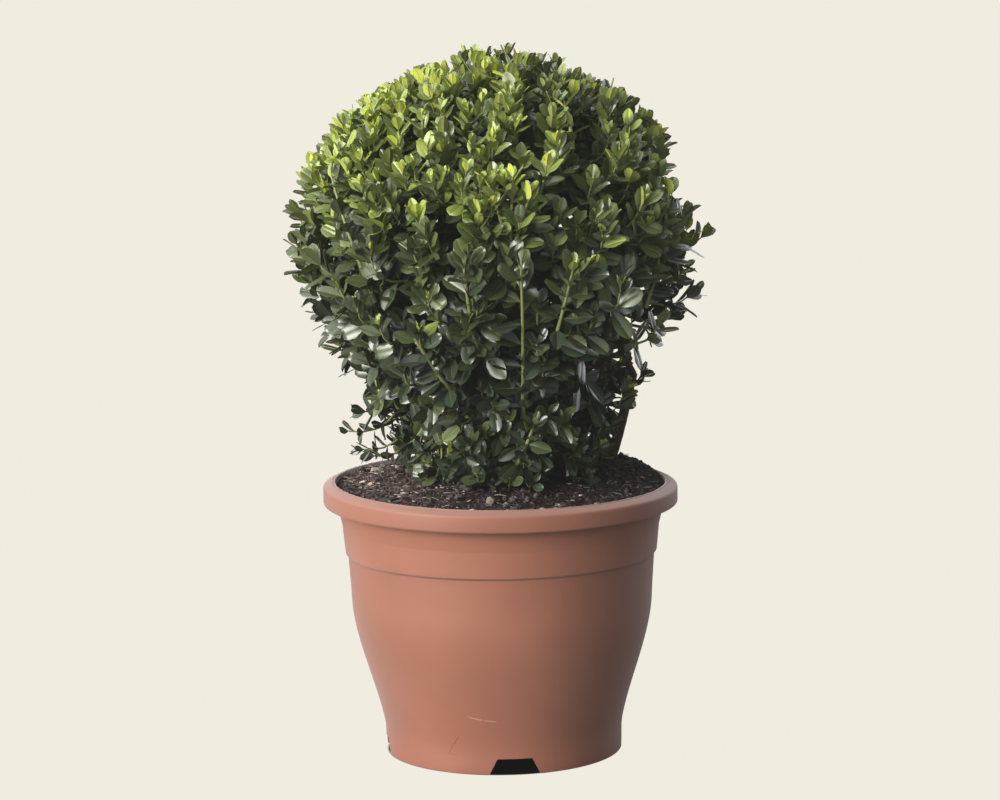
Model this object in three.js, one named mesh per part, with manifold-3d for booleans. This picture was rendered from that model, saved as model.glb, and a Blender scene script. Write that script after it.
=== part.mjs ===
// A clipped box ball in its plastic container pot. The pot is filled with potting soil. A trunk and six stems
// stand in the soil, five boughs leave the trunk inside the crown, and twelve masses of leafy twigs make up
// the ball. Millimetres, +Z up, with the origin on the ground under the axis of the pot.
import * as THREE from 'three';
import { mergeVertices } from 'three/addons/utils/BufferGeometryUtils.js';
import Module from 'manifold-3d';

const wasm = await Module();
wasm.setup();

// ---------------------------------------------------------------- driving dimensions

const POT = {
  sides: 36,
  height: 200,
  footRadius: 86,
  bellyRadius: 112.7, // reached at bellyHeight, and kept up to the band
  bellyHeight: 125,
  bandFoot: 146, // the upper band stands proud of the wall below it
  bandRadius: 114.9,
  bandTopRadius: 118.2,
  wall: 2.4,
  rimRadius: 130,
  rimFoot: 183,
  rimShoulder: 195,
  rimMouth: 121.5,
  rimWeb: 3,
  floor: 14, // the floor is raised inside the foot ring
  floorThickness: 2.5,
  footRing: 4.5,
};
const NOTCH = { count: 4, firstAngle: -82.6, foot: 33, top: 22, height: 12 };
const DRAIN = { count: 4, radius: 6, ring: 62, sides: 8 };
const SOIL = { level: 203, edge: 193, plateau: 92, gap: 0.3 };

const CROWN = { radius: 148, widest: 372, top: 521, foot: SOIL.level, footRadius: 80 };
const HEART = new THREE.Vector3(0, 0, 345); // the walls between the masses all pass through this point
const GAP = 0.3; // between a limb and what it meets
const CLEAR = 0.5; // from a mass to the wall of its space

const CORE = { depth: 38, footDepth: 42, wall: 18, foot: 226, sides: 12, rings: 3, wobble: 3 };
const TWIG = { spots: 106, thickness: 2.6, longest: 75, tipDepth: 24, fromWall: 9 };
const LEAF = { length: 41, width: 24, thickness: 1.6, fold: 1.8, root: 0.6, nodes: 2, first: 2, spacing: 9.5 };
// Sizes and turns tried in order for a leaf that has no room, as shares of its length and degrees.
const LEAF_TRIES = [[1, 0], [0.95, -14], [0.9, 14], [0.8, -24], [0.7, -36], [0.65, 20]];
const SHOOT_LIFT = { foot: -0.1, full: 0.95, fullHeight: 330 }; // how far shoots turn upwards, by height

const TRUNK = { foot: 10.5, tip: 4, flare: 5, lobes: 5, top: 430, sides: 10, steps: 7 };
const BOUGH = { foot: 4.6, tip: 3.2, sides: 6, steps: 4 };
const STEM = { foot: 4.4, tip: 3.1, sides: 6, steps: 4, circle: 24 };

// Tiers of masses: how many, the height above the horizon of their directions from the heart, and the first
// azimuth, in degrees.
const TIERS = [
  { name: 'lower', count: 6, elevation: -24, azimuth: 15 },
  { name: 'upper', count: 5, elevation: 27, azimuth: 45 },
  { name: 'top', count: 1, elevation: 90, azimuth: 0 },
];

// Shoots that the shears missed: azimuth in degrees, height, and how far from the axis they reach.
const STRAYS = [
  { azimuth: 3, height: 384, reach: 162 },
  { azimuth: 184, height: 396, reach: 157 },
  { azimuth: 186, height: 236, reach: 112 },
  { azimuth: 97, height: 398, reach: 157 },
  { azimuth: 262, height: 386, reach: 157 },
].map((spot) => ({ ...spot, stray: true }));

const COLOURS = {
  pot: { color: 0xc67a5c, roughness: 0.55, metalness: 0 },
  soil: { color: 0x2b211c, roughness: 0.95, metalness: 0 },
  bark: { color: 0x6f6448, roughness: 0.85, metalness: 0 },
  lower: { color: 0x2c4a2a, roughness: 0.4, metalness: 0 },
  upper: { color: 0x3f6a2a, roughness: 0.4, metalness: 0 },
  top: { color: 0x6f9a30, roughness: 0.45, metalness: 0 },
};

// ---------------------------------------------------------------- small helpers

const UP = new THREE.Vector3(0, 0, 1);
const GOLDEN_ANGLE = Math.PI * (3 - Math.sqrt(5));
const radians = THREE.MathUtils.degToRad;
const { lerp, smoothstep } = THREE.MathUtils;

// Repeatable random numbers from 0 to 1.
function seeded(seed) {
  let state = seed >>> 0;
  return () => {
    state = (state + 0x6d2b79f5) >>> 0;
    let t = state;
    t = Math.imul(t ^ (t >>> 15), t | 1);
    t ^= t + Math.imul(t ^ (t >>> 7), t | 61);
    return ((t ^ (t >>> 14)) >>> 0) / 4294967296;
  };
}

function polar(azimuth, radius, height) {
  const a = radians(azimuth);
  return new THREE.Vector3(radius * Math.cos(a), radius * Math.sin(a), height);
}

// A closed geometry as a solid.
function solidOf(geometry) {
  const bare = geometry.index ? geometry.toNonIndexed() : geometry.clone();
  bare.deleteAttribute('normal');
  bare.deleteAttribute('uv');
  const merged = mergeVertices(bare, 1e-4);
  const mesh = new wasm.Mesh({
    numProp: 3,
    vertProperties: new Float32Array(merged.attributes.position.array),
    triVerts: new Uint32Array(merged.index.array),
  });
  return new wasm.Manifold(mesh);
}

// A solid as a geometry.
function geometryOf(solid) {
  const mesh = solid.getMesh();
  const geometry = new THREE.BufferGeometry();
  geometry.setAttribute('position', new THREE.BufferAttribute(mesh.vertProperties, 3));
  geometry.setIndex(new THREE.BufferAttribute(mesh.triVerts, 1));
  geometry.computeVertexNormals();
  return geometry;
}

// The largest body of a solid. Loose scraps go, and sealed hollows are filled.
function largestBody(solid) {
  return solid.decompose().reduce((a, b) => (a.volume() > b.volume() ? a : b));
}

// A solid of revolution about Z, from a profile of [radius, height] that runs anticlockwise.
function turned(profile, sides) {
  const points = profile.map(([radius, height]) => new THREE.Vector2(radius, height));
  return new THREE.LatheGeometry(points, sides).rotateX(Math.PI / 2);
}

// A round limb along a curve. radiusAt(share, angle) gives its radius.
function limb(curve, radiusAt, sides, steps) {
  const geometry = new THREE.CylinderGeometry(1, 1, 1, sides, steps);
  const frames = curve.computeFrenetFrames(steps);
  const at = geometry.attributes.position;
  for (let i = 0; i < at.count; i++) {
    const share = at.getY(i) + 0.5;
    const ring = Math.round(share * steps);
    const x = at.getX(i);
    const y = at.getZ(i);
    const radius = Math.hypot(x, y) > 0.5 ? radiusAt(share, Math.atan2(y, x)) : 0;
    const angle = Math.atan2(y, x);
    const place = curve
      .getPointAt(share)
      .addScaledVector(frames.normals[ring], radius * Math.cos(angle))
      .addScaledVector(frames.binormals[ring], -radius * Math.sin(angle));
    at.setXYZ(i, place.x, place.y, place.z);
  }
  return geometry;
}

// ---------------------------------------------------------------- pot and soil

function wallRadius(height) {
  if (height < POT.bandFoot) {
    return lerp(POT.footRadius, POT.bellyRadius, smoothstep(height, 0, POT.bellyHeight));
  }
  const share = (height - POT.bandFoot) / (POT.rimFoot - POT.bandFoot);
  return lerp(POT.bandRadius, POT.bandTopRadius, share);
}

function heights(from, to, count) {
  return Array.from({ length: count + 1 }, (_, i) => lerp(from, to, i / count));
}

function makePot() {
  const outer = heights(0, POT.bellyHeight, 6).map((z) => [wallRadius(z), z]);
  const band = [
    [POT.bellyRadius, POT.bandFoot],
    [POT.bandRadius, POT.bandFoot + 2],
    [POT.bandTopRadius, POT.rimFoot],
  ];
  const flangeInside = POT.rimRadius - POT.rimWeb;
  const rim = [
    [POT.bandTopRadius + 0.6, POT.rimShoulder - POT.rimWeb],
    [flangeInside, POT.rimShoulder - POT.rimWeb],
    [flangeInside, POT.rimFoot],
    [POT.rimRadius, POT.rimFoot],
    [POT.rimRadius, POT.rimShoulder],
    [POT.rimMouth + 3, POT.height],
    [POT.rimMouth, POT.height],
  ];
  const floorTop = POT.floor + POT.floorThickness;
  const inner = heights(floorTop, POT.bellyHeight, 3).map((z) => [wallRadius(z) - POT.wall, z]);
  const profile = [
    [0, POT.floor],
    [POT.footRadius - POT.footRing, POT.floor],
    [POT.footRadius - POT.footRing, 0],
    ...outer,
    ...band,
    ...rim,
    [POT.bandTopRadius - POT.wall, POT.rimFoot],
    [POT.bandRadius - POT.wall, POT.bandFoot + 2],
    ...inner.reverse(),
    [0, floorTop],
  ];
  let pot = solidOf(turned(profile, POT.sides));

  const opening = new THREE.Shape([
    new THREE.Vector2(-NOTCH.foot / 2, -1),
    new THREE.Vector2(NOTCH.foot / 2, -1),
    new THREE.Vector2(NOTCH.top / 2, NOTCH.height),
    new THREE.Vector2(-NOTCH.top / 2, NOTCH.height),
  ]);
  for (let i = 0; i < NOTCH.count; i++) {
    const cutter = new THREE.ExtrudeGeometry(opening, { depth: 30, bevelEnabled: false });
    cutter.rotateX(Math.PI / 2).translate(0, POT.footRadius + 10, 0);
    cutter.rotateZ(radians(NOTCH.firstAngle - 90 + (i * 360) / NOTCH.count));
    pot = pot.subtract(solidOf(cutter));
  }
  for (let i = 0; i < DRAIN.count; i++) {
    const drill = new THREE.CylinderGeometry(DRAIN.radius, DRAIN.radius, 12, DRAIN.sides);
    const place = polar(NOTCH.firstAngle + (i * 360) / DRAIN.count, DRAIN.ring, POT.floor);
    pot = pot.subtract(solidOf(drill.rotateX(Math.PI / 2).translate(...place)));
  }
  return geometryOf(pot);
}

function makeSoil() {
  const foot = POT.floor + POT.floorThickness + SOIL.gap;
  const reach = (z) => wallRadius(z) - POT.wall - SOIL.gap - 0.3;
  const side = heights(foot, POT.bellyHeight, 3).map((z) => [reach(z), z]);
  const profile = [
    [0, foot],
    ...side,
    [POT.bandTopRadius - POT.wall - 1, SOIL.edge],
    [SOIL.plateau, SOIL.level],
    [0, SOIL.level],
  ];
  return turned(profile, POT.sides);
}

// ---------------------------------------------------------------- the crown and its spaces

function crownRadius(height) {
  if (height >= CROWN.widest) {
    const share = Math.min(1, (height - CROWN.widest) / (CROWN.top - CROWN.widest));
    return CROWN.radius * Math.sqrt(1 - share * share);
  }
  const share = Math.min(1, (CROWN.widest - height) / (CROWN.widest - CROWN.foot));
  return lerp(CROWN.footRadius, CROWN.radius, (1 + Math.cos(Math.PI * share)) / 2);
}

// The direction that the crown's surface faces.
function crownNormal(azimuth, height) {
  const step = 1;
  const slope = (crownRadius(height + step) - crownRadius(height - step)) / (2 * step);
  const flat = Math.min(1, (CROWN.top - height) / 4);
  return polar(azimuth, flat, -slope * flat + (1 - flat)).normalize();
}

// Heights that share the crown's surface out evenly, and its skirt a little more closely.
function evenHeights(count) {
  const bands = heights(CROWN.foot + 8, CROWN.top - 1, 300);
  const areas = bands.slice(1).map((z, i) => {
    const [r0, r1] = [crownRadius(bands[i]), crownRadius(z)];
    const weight = lerp(1.6, 1, smoothstep(z, 230, 330));
    return weight * ((r0 + r1) / 2) * Math.hypot(z - bands[i], r1 - r0);
  });
  const total = areas.reduce((a, b) => a + b);
  const found = [];
  let sum = 0;
  areas.forEach((area, i) => {
    sum += area;
    while (found.length < count && (found.length + 0.5) / count <= sum / total) {
      found.push(bands[i + 1]);
    }
  });
  return found;
}

const masses = TIERS.flatMap((tier, row) =>
  Array.from({ length: tier.count }, (_, i) => {
    const dice = seeded(100 * row + i + 1);
    const loose = tier.count > 1 ? 1 : 0;
    const azimuth = tier.azimuth + (360 * i) / tier.count + loose * lerp(-7, 7, dice());
    const elevation = tier.elevation + loose * lerp(-4, 4, dice());
    const across = Math.cos(radians(elevation));
    return {
      tier: tier.name,
      name: tier.count > 1 ? `${tier.name}_${i + 1}` : tier.name,
      azimuth,
      direction: polar(azimuth, across, Math.sin(radians(elevation))),
      seed: 1000 * (row + 1) + i,
    };
  }),
);

// The walls of a mass's space, as the normals of planes through the heart.
for (const mass of masses) {
  mass.walls = masses
    .filter((other) => other !== mass)
    .map((other) => mass.direction.clone().sub(other.direction).normalize());
}

function massAt(point) {
  const toward = point.clone().sub(HEART).normalize();
  return masses.reduce((a, b) => (a.direction.dot(toward) > b.direction.dot(toward) ? a : b));
}

function insideSpace(mass, point, margin) {
  const from = point.clone().sub(HEART);
  return mass.walls.every((normal) => normal.dot(from) >= margin);
}

// Moves a point away from the walls of a mass's space until it is clear of them all.
function pushInside(mass, point, margin) {
  for (const normal of mass.walls) {
    const short = margin - normal.dot(point.clone().sub(HEART));
    if (short > 0) point.addScaledVector(normal, short);
  }
  return point;
}

// ---------------------------------------------------------------- trunk, boughs and stems

const trunkCurve = new THREE.CatmullRomCurve3([
  new THREE.Vector3(0, 0, SOIL.level - 12),
  new THREE.Vector3(1, -1, SOIL.level + 30),
  new THREE.Vector3(5, 3, 300),
  new THREE.Vector3(-3, 2, 370),
  new THREE.Vector3(0, 0, TRUNK.top),
]);

function trunkRadius(share, angle) {
  const flare = TRUNK.flare * Math.max(0, 1 - share * 6) ** 2;
  const lobes = 1 + 0.25 * Math.cos(TRUNK.lobes * angle);
  return lerp(TRUNK.foot, TRUNK.tip, share ** 0.8) + flare * lobes;
}

// Where each mass's own stem starts, and the limb that carries it.
for (const mass of masses) {
  if (mass.tier === 'top') {
    mass.root = new THREE.Vector3(0, 0, TRUNK.top);
    mass.heading = UP.clone();
    mass.crest = new THREE.Vector3(0, 0, TRUNK.top + 43);
  } else if (mass.tier === 'upper') {
    const order = Number(mass.name.split('_')[1]);
    const start = trunkCurve.getPointAt(0.2 + 0.06 * order);
    mass.root = polar(mass.azimuth, 66, 372);
    mass.crest = polar(mass.azimuth, 93, 404);
    mass.limb = new THREE.CatmullRomCurve3([
      start,
      start.clone().add(polar(mass.azimuth, 22, 26)),
      polar(mass.azimuth, 47, 346),
      mass.root,
    ]);
  } else {
    const outside = mass.name === 'lower_1';
    const foot = outside ? polar(12, 82, SOIL.level - 8) : polar(mass.azimuth, STEM.circle, SOIL.level - 8);
    mass.root = outside ? polar(13, 100, 258) : polar(mass.azimuth, 46, 280);
    mass.crest = polar(mass.azimuth, 84, 314);
    const knee = outside ? polar(14, 89, 232) : polar(mass.azimuth, 26, 238);
    mass.limb = new THREE.CatmullRomCurve3([foot, knee, mass.root]);
  }
  mass.heading ??= mass.limb.getTangentAt(1);
}

const limbs = [
  {
    name: 'trunk',
    curve: trunkCurve,
    radiusAt: trunkRadius,
    sides: TRUNK.sides,
    steps: TRUNK.steps,
    grounded: true,
  },
  ...masses
    .filter((mass) => mass.limb)
    .map((mass) => {
      const size = mass.tier === 'upper' ? BOUGH : STEM;
      return {
        name: `${mass.tier === 'upper' ? 'bough' : 'stem'}_${mass.name.split('_')[1]}`,
        curve: mass.limb,
        radiusAt: (share) => lerp(size.foot, size.tip, share),
        sides: size.sides,
        steps: size.steps,
        grounded: mass.tier === 'lower',
      };
    }),
];

// A limb's solid, thicker by extra. Its last point stays where it is.
function limbSolid({ curve, radiusAt, sides, steps }, extra = 0) {
  return solidOf(limb(curve, (share, angle) => radiusAt(share, angle) + extra, sides, steps));
}

function makeLimb(part) {
  let solid = limbSolid(part);
  if (part.grounded) return geometryOf(solid.trimByPlane([0, 0, 1], SOIL.level + GAP));
  return geometryOf(largestBody(solid.subtract(limbSolid(limbs[0], GAP))));
}

function touchesLimb(point, margin) {
  return limbs.some(({ curve, radiusAt }) =>
    heights(0, 1, 24).some((share) => {
      return curve.getPointAt(share).distanceTo(point) < radiusAt(share, 0) + margin;
    }),
  );
}

// ---------------------------------------------------------------- foliage

const coreTop = CROWN.top - CORE.depth;

// The core's outer radius: the same shape as the crown's, further in.
function coreRadius(height) {
  if (height > CROWN.widest) {
    const share = Math.min(1, (height - CROWN.widest) / (coreTop - CROWN.widest));
    return (CROWN.radius - CORE.depth) * Math.sqrt(1 - share * share);
  }
  return crownRadius(height) - lerp(CORE.footDepth, CORE.depth, smoothstep(height, CORE.foot, CORE.foot + 90));
}

function insideCore(point) {
  const radius = Math.hypot(point.x, point.y);
  const rise = (point.z - CROWN.widest) / (coreTop - CROWN.widest);
  if (rise > 0) return Math.hypot(radius / coreRadius(CROWN.widest), rise) < 0.92;
  return radius < 0.92 * coreRadius(point.z) && point.z > CORE.foot + 5;
}

// The shell that backs the leaves. Each mass has the part of it that lies in its own space.
function makeCoreShell() {
  const dice = seeded(7);
  const widest = coreRadius(CROWN.widest);
  const side = heights(CORE.foot, CROWN.widest, CORE.rings).map((z) => [coreRadius(z), z]);
  const dome = [30, 57].map((angle) => {
    const height = lerp(CROWN.widest, coreTop, Math.sin(radians(angle)));
    return [coreRadius(height), height];
  });
  const shrink = 1 - CORE.wall / widest;
  const innerDome = [...dome, [0, coreTop]].map(([radius, z]) => {
    return [radius * shrink, lerp(CROWN.widest, z, shrink)];
  });
  const inner = [...side.map(([radius, z]) => [radius - CORE.wall, z]), ...innerDome];
  const profile = [...inner.reverse(), ...side, ...dome, [0, coreTop]];
  const shell = turned(profile, CORE.sides);
  const bare = mergeVertices(shell.deleteAttribute('normal').deleteAttribute('uv'), 1e-3);
  const at = bare.attributes.position;
  for (let i = 0; i < at.count; i++) {
    const push = new THREE.Vector3().fromBufferAttribute(at, i).sub(HEART).normalize();
    const far = lerp(-CORE.wobble, CORE.wobble, dice());
    at.setXYZ(i, at.getX(i) + push.x * far, at.getY(i) + push.y * far, at.getZ(i) + push.z * far);
  }
  return solidOf(bare);
}

// One leaf: a thin folded blade, widest below its middle, that leaves its shoot by the angle spread.
function bladeAt(root, along, out, spread, length) {
  const axis = along.clone().multiplyScalar(Math.cos(spread)).addScaledVector(out, Math.sin(spread));
  const up = along.clone().multiplyScalar(Math.sin(spread)).addScaledVector(out, -Math.cos(spread));
  const size = length / LEAF.length;
  const side = new THREE.Vector3().crossVectors(axis, up).normalize();
  const face = new THREE.Vector3().crossVectors(side, axis).normalize();
  const geometry = new THREE.OctahedronGeometry(1, 0);
  const at = geometry.attributes.position;
  for (let i = 0; i < at.count; i++) {
    const [across, along, over] = [at.getX(i), at.getY(i), at.getZ(i)];
    const run = Math.abs(along) > 0.5 ? (along > 0 ? length : -LEAF.root) : 0.47 * length;
    const lift = (LEAF.thickness / 2) * over + LEAF.fold * size * Math.abs(across);
    const place = root
      .clone()
      .addScaledVector(axis, run)
      .addScaledVector(side, (across * LEAF.width * size) / 2)
      .addScaledVector(face, lift);
    at.setXYZ(i, place.x, place.y, place.z);
  }
  return solidOf(geometry);
}

function cornersOf(solid) {
  const at = solid.getMesh().vertProperties;
  return Array.from({ length: at.length / 3 }, (_, i) => at.slice(3 * i, 3 * i + 3));
}

function boxesMeet(a, b) {
  const [p, q] = [a.boundingBox(), b.boundingBox()];
  return [0, 1, 2].every((axis) => p.min[axis] < q.max[axis] && q.min[axis] < p.max[axis]);
}

function crosses(solid, others) {
  return others.some((other) => boxesMeet(solid, other) && !solid.intersect(other).isEmpty());
}

// Whether a leaf keeps to its mass's space, clear of limbs, soil and the leaves and twigs already there.
function fits(mass, leaf, reach, others) {
  const inReach = (x, y, z) => {
    const corner = new THREE.Vector3(x, y, z);
    return (
      insideSpace(mass, corner, CLEAR) &&
      z > SOIL.level + 1.5 &&
      z < CROWN.top + 3 &&
      Math.hypot(x, y) < Math.max(reach, crownRadius(z) + lerp(13, 7, smoothstep(z, 250, 350))) &&
      !touchesLimb(corner, 1.5)
    );
  };
  return cornersOf(leaf).every((corner) => inReach(...corner)) && !crosses(leaf, others);
}

// A square twig. Its sides face the four ways that its leaves grow.
function twigSolid({ start, tip, ways }) {
  const geometry = new THREE.BoxGeometry(TWIG.thickness, TWIG.thickness, 1);
  const at = geometry.attributes.position;
  for (let i = 0; i < at.count; i++) {
    const place = start
      .clone()
      .lerp(tip, at.getZ(i) + 0.5)
      .addScaledVector(ways[0], at.getX(i))
      .addScaledVector(ways[1], at.getY(i));
    at.setXYZ(i, place.x, place.y, place.z);
  }
  return solidOf(geometry);
}

// A twig from the mass's core to a spot on the crown, or null where it finds no room.
function growTwig(mass, spot, dice) {
  const { azimuth, height, reach, stray } = spot;
  const lift = lerp(SHOOT_LIFT.foot, SHOOT_LIFT.full, smoothstep(height, CROWN.foot, SHOOT_LIFT.fullHeight));
  const heading = stray ? polar(azimuth, 1, 0.3) : crownNormal(azimuth, height).addScaledVector(UP, lift);
  const sway = stray ? 0 : 0.5;
  heading.add(new THREE.Vector3(dice() - 0.5, dice() - 0.5, dice() - 0.5).multiplyScalar(sway)).normalize();
  const roll = dice() * Math.PI;
  const tip = polar(azimuth, reach, height).addScaledVector(heading, -TWIG.tipDepth);
  pushInside(mass, tip, TWIG.fromWall);
  const straightDown = heights(8, TWIG.longest, 30).map((far) => tip.clone().addScaledVector(heading, -far));
  const hub = new THREE.Vector3(0, 0, Math.max(tip.z, CORE.foot + 14));
  const inwards = heights(0.1, 0.8, 40).map((share) => tip.clone().lerp(hub, share));
  const start = [...straightDown, ...inwards].find(insideCore);
  if (!start) return null;
  pushInside(mass, start, TWIG.fromWall);
  const along = tip.clone().sub(start).normalize();
  const side = new THREE.Vector3().crossVectors(along, UP);
  if (side.length() < 0.2) side.set(1, 0, 0).cross(along);
  side.normalize().applyAxisAngle(along, stray ? 0 : roll);
  const ways = [side, new THREE.Vector3().crossVectors(along, side)];
  const path = heights(0.3, 1, 4).map((share) => start.clone().lerp(tip, share));
  const free = path.every((point) => !touchesLimb(point, TWIG.thickness + 1));
  return free ? { start, tip, along, ways } : null;
}

function leavesOn(mass, twig, spot, dice, others) {
  const { tip, along, ways } = twig;
  const found = [];
  for (let node = 0; node < LEAF.nodes; node++) {
    const joint = tip.clone().addScaledVector(along, -LEAF.first - node * LEAF.spacing);
    const spread = lerp(spot.stray ? 18 : 36, 56, node) + 10 * (dice() - 0.5);
    for (const sign of [1, -1]) {
      const out = ways[node % 2].clone().multiplyScalar(sign);
      const root = joint.clone().addScaledVector(out, 0.5);
      const length = LEAF.length * lerp(0.86, 1.08, dice());
      const leaf = LEAF_TRIES
        .map(([size, turn]) => bladeAt(root, along, out, radians(spread + turn), length * size))
        .find((blade) => fits(mass, blade, spot.reach, others));
      if (leaf) found.push(leaf);
    }
  }
  return found;
}

const spots = evenHeights(TWIG.spots).map((height, i) => {
  const dice = seeded(5000 + i);
  const azimuth = THREE.MathUtils.radToDeg(i * GOLDEN_ANGLE) % 360;
  return { azimuth, height, reach: crownRadius(height) - 4 * dice() };
});

function makeFoliage(mass, shell) {
  const dice = seeded(mass.seed);
  const taper = (share) => lerp(2.9, 1.8, share);
  const centre = new THREE.QuadraticBezierCurve3(
    mass.root.clone().addScaledVector(mass.heading, GAP),
    mass.root.clone().addScaledVector(mass.heading, 16),
    mass.crest,
  );
  let core = shell;
  for (const normal of mass.walls) {
    core = core.trimByPlane([normal.x, normal.y, normal.z], normal.dot(HEART) + CLEAR);
  }
  const pieces = [solidOf(limb(centre, taper, 5, 2)), largestBody(core)];
  const shoots = [...STRAYS, ...spots]
    .filter((spot) => massAt(polar(spot.azimuth, spot.reach, spot.height)) === mass)
    .map((spot) => ({ spot, twig: growTwig(mass, spot, dice) }))
    .filter(({ twig }) => twig)
    .map(({ spot, twig }) => ({ spot, twig, wood: twigSolid(twig) }));
  for (const { spot, twig, wood } of shoots) {
    const others = [...pieces, ...shoots.map((shoot) => shoot.wood).filter((other) => other !== wood)];
    const leaves = leavesOn(mass, twig, spot, dice, others);
    if (leaves.length) pieces.push(wood, ...leaves);
  }
  const wood = wasm.Manifold.union(limbs.map((part) => limbSolid(part, GAP)));
  return geometryOf(largestBody(wasm.Manifold.union(pieces).subtract(wood)));
}

// ---------------------------------------------------------------- assembly

const plant = new THREE.Group();

function add(name, geometry, look) {
  const mesh = new THREE.Mesh(geometry, new THREE.MeshStandardMaterial(COLOURS[look]));
  mesh.name = name;
  plant.add(mesh);
}

add('pot', makePot(), 'pot');
add('soil', makeSoil(), 'soil');
for (const part of limbs) add(part.name, makeLimb(part), 'bark');
const shell = makeCoreShell();
for (const mass of masses) add(`foliage_${mass.name}`, makeFoliage(mass, shell), mass.tier);


export default plant;
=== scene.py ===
"""A clipped box ball in its container pot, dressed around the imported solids.

The crown grows by the same rule as the solids: spots on the crown are shared out by the golden angle, each
belongs to the mass whose direction is nearest, and a branch runs to it from that mass's own stem. Here every
branch splits into leafy shoots. Lengths are in metres.
"""

import math

import bmesh
import bpy
import numpy as np
from bpy.props import FloatProperty, FloatVectorProperty, IntProperty, PointerProperty
from mathutils import Matrix, Vector, noise


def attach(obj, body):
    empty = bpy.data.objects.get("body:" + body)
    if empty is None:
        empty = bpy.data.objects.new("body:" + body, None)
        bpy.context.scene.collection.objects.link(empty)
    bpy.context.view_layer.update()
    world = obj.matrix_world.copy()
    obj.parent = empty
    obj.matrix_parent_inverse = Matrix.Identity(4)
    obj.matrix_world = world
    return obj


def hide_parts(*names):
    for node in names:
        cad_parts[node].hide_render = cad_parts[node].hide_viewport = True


bl_info = {
    "name": "Box topiary ball",
    "version": (1, 0, 0),
    "blender": (4, 5, 0),
    "location": "View3D > Sidebar > Topiary",
    "description": "Builds a clipped box ball with its pot, soil, limbs and leaves",
    "category": "Add Mesh",
}

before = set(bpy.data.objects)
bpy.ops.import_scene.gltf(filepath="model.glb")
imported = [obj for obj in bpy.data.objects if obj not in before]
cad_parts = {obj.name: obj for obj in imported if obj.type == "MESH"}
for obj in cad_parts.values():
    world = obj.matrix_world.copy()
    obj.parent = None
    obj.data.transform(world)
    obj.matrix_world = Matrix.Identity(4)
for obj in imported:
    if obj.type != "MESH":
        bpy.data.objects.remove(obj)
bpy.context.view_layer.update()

MM = 0.001
UP = np.array([0.0, 0.0, 1.0])
GOLDEN_ANGLE = math.pi * (3 - math.sqrt(5))


# ------------------------------------------------------------------ settings


def length(name, description, default):
    return FloatProperty(name=name, description=description, default=default, unit="LENGTH", precision=4)


def colour(name, description, default):
    return FloatVectorProperty(
        name=name, description=description, default=default, subtype="COLOR", size=3, min=0, max=1
    )


def angle(name, description, default):
    return FloatProperty(name=name, description=description, default=default, subtype="ANGLE")


def amount(name, description, default, least=0):
    return FloatProperty(name=name, description=description, default=default, min=least)


def number(name, description, default, least=0):
    return IntProperty(name=name, description=description, default=default, min=least)


class PotSettings(bpy.types.PropertyGroup):
    height: length("Height", "From the ground to the top of the rim", 0.200)
    foot_radius: length("Foot radius", "Outer radius of the wall at the ground", 0.086)
    belly_radius: length("Belly radius", "Outer radius of the wall where its belly ends", 0.1112)
    belly_height: length("Belly height", "Height where the belly ends and a slow taper starts", 0.120)
    band_foot: length("Band foot", "Height where the raised upper band starts", 0.1488)
    band_radius: length("Band radius", "Outer radius at the foot of the band", 0.1149)
    band_top_radius: length("Band top radius", "Outer radius of the band under the rim", 0.1182)
    wall: length("Wall", "Thickness of the wall", 0.0024)
    rim_radius: length("Rim radius", "Outer radius of the rim", 0.1305)
    rim_mouth: length("Mouth radius", "Inner radius of the rim", 0.1215)
    rim_foot: length("Rim foot", "Height of the rim's lower edge", 0.1846)
    floor: length("Floor", "Height of the raised floor's underside", 0.014)
    notch_angle: angle("Notch angle", "Direction of the first drain notch", math.radians(-85.0))
    notches: number("Notches", "Drain notches around the foot", 4)
    plastic: colour("Plastic", "Colour of the moulded plastic", (0.253, 0.0980, 0.0612))
    grime: colour("Grime", "Colour of the dried soil film in corners", (0.20, 0.13, 0.095))


class SoilSettings(bpy.types.PropertyGroup):
    level: length("Level", "Height of the soil around the stems", 0.203)
    edge: length("Edge", "Height of the soil at the wall", 0.1935)
    crumbs: number("Crumbs", "Loose crumbs on the soil", 6500)
    clods: number("Clods", "Larger clods on the soil", 240)
    pebbles: number("Pebbles", "Rounded pebbles on the soil", 14, 9)
    fibres: number("Fibres", "Loose fibres on the soil", 2300)
    chips: number("Chips", "Wood chips on the soil", 70)
    dark: colour("Dark soil", "Colour of the moist soil", (0.0110, 0.0073, 0.0074))
    light: colour("Light soil", "Colour of the drier crumbs", (0.066, 0.044, 0.041))
    fibre: colour("Fibre", "Colour of fibres and chips", (0.46, 0.37, 0.315))


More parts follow.
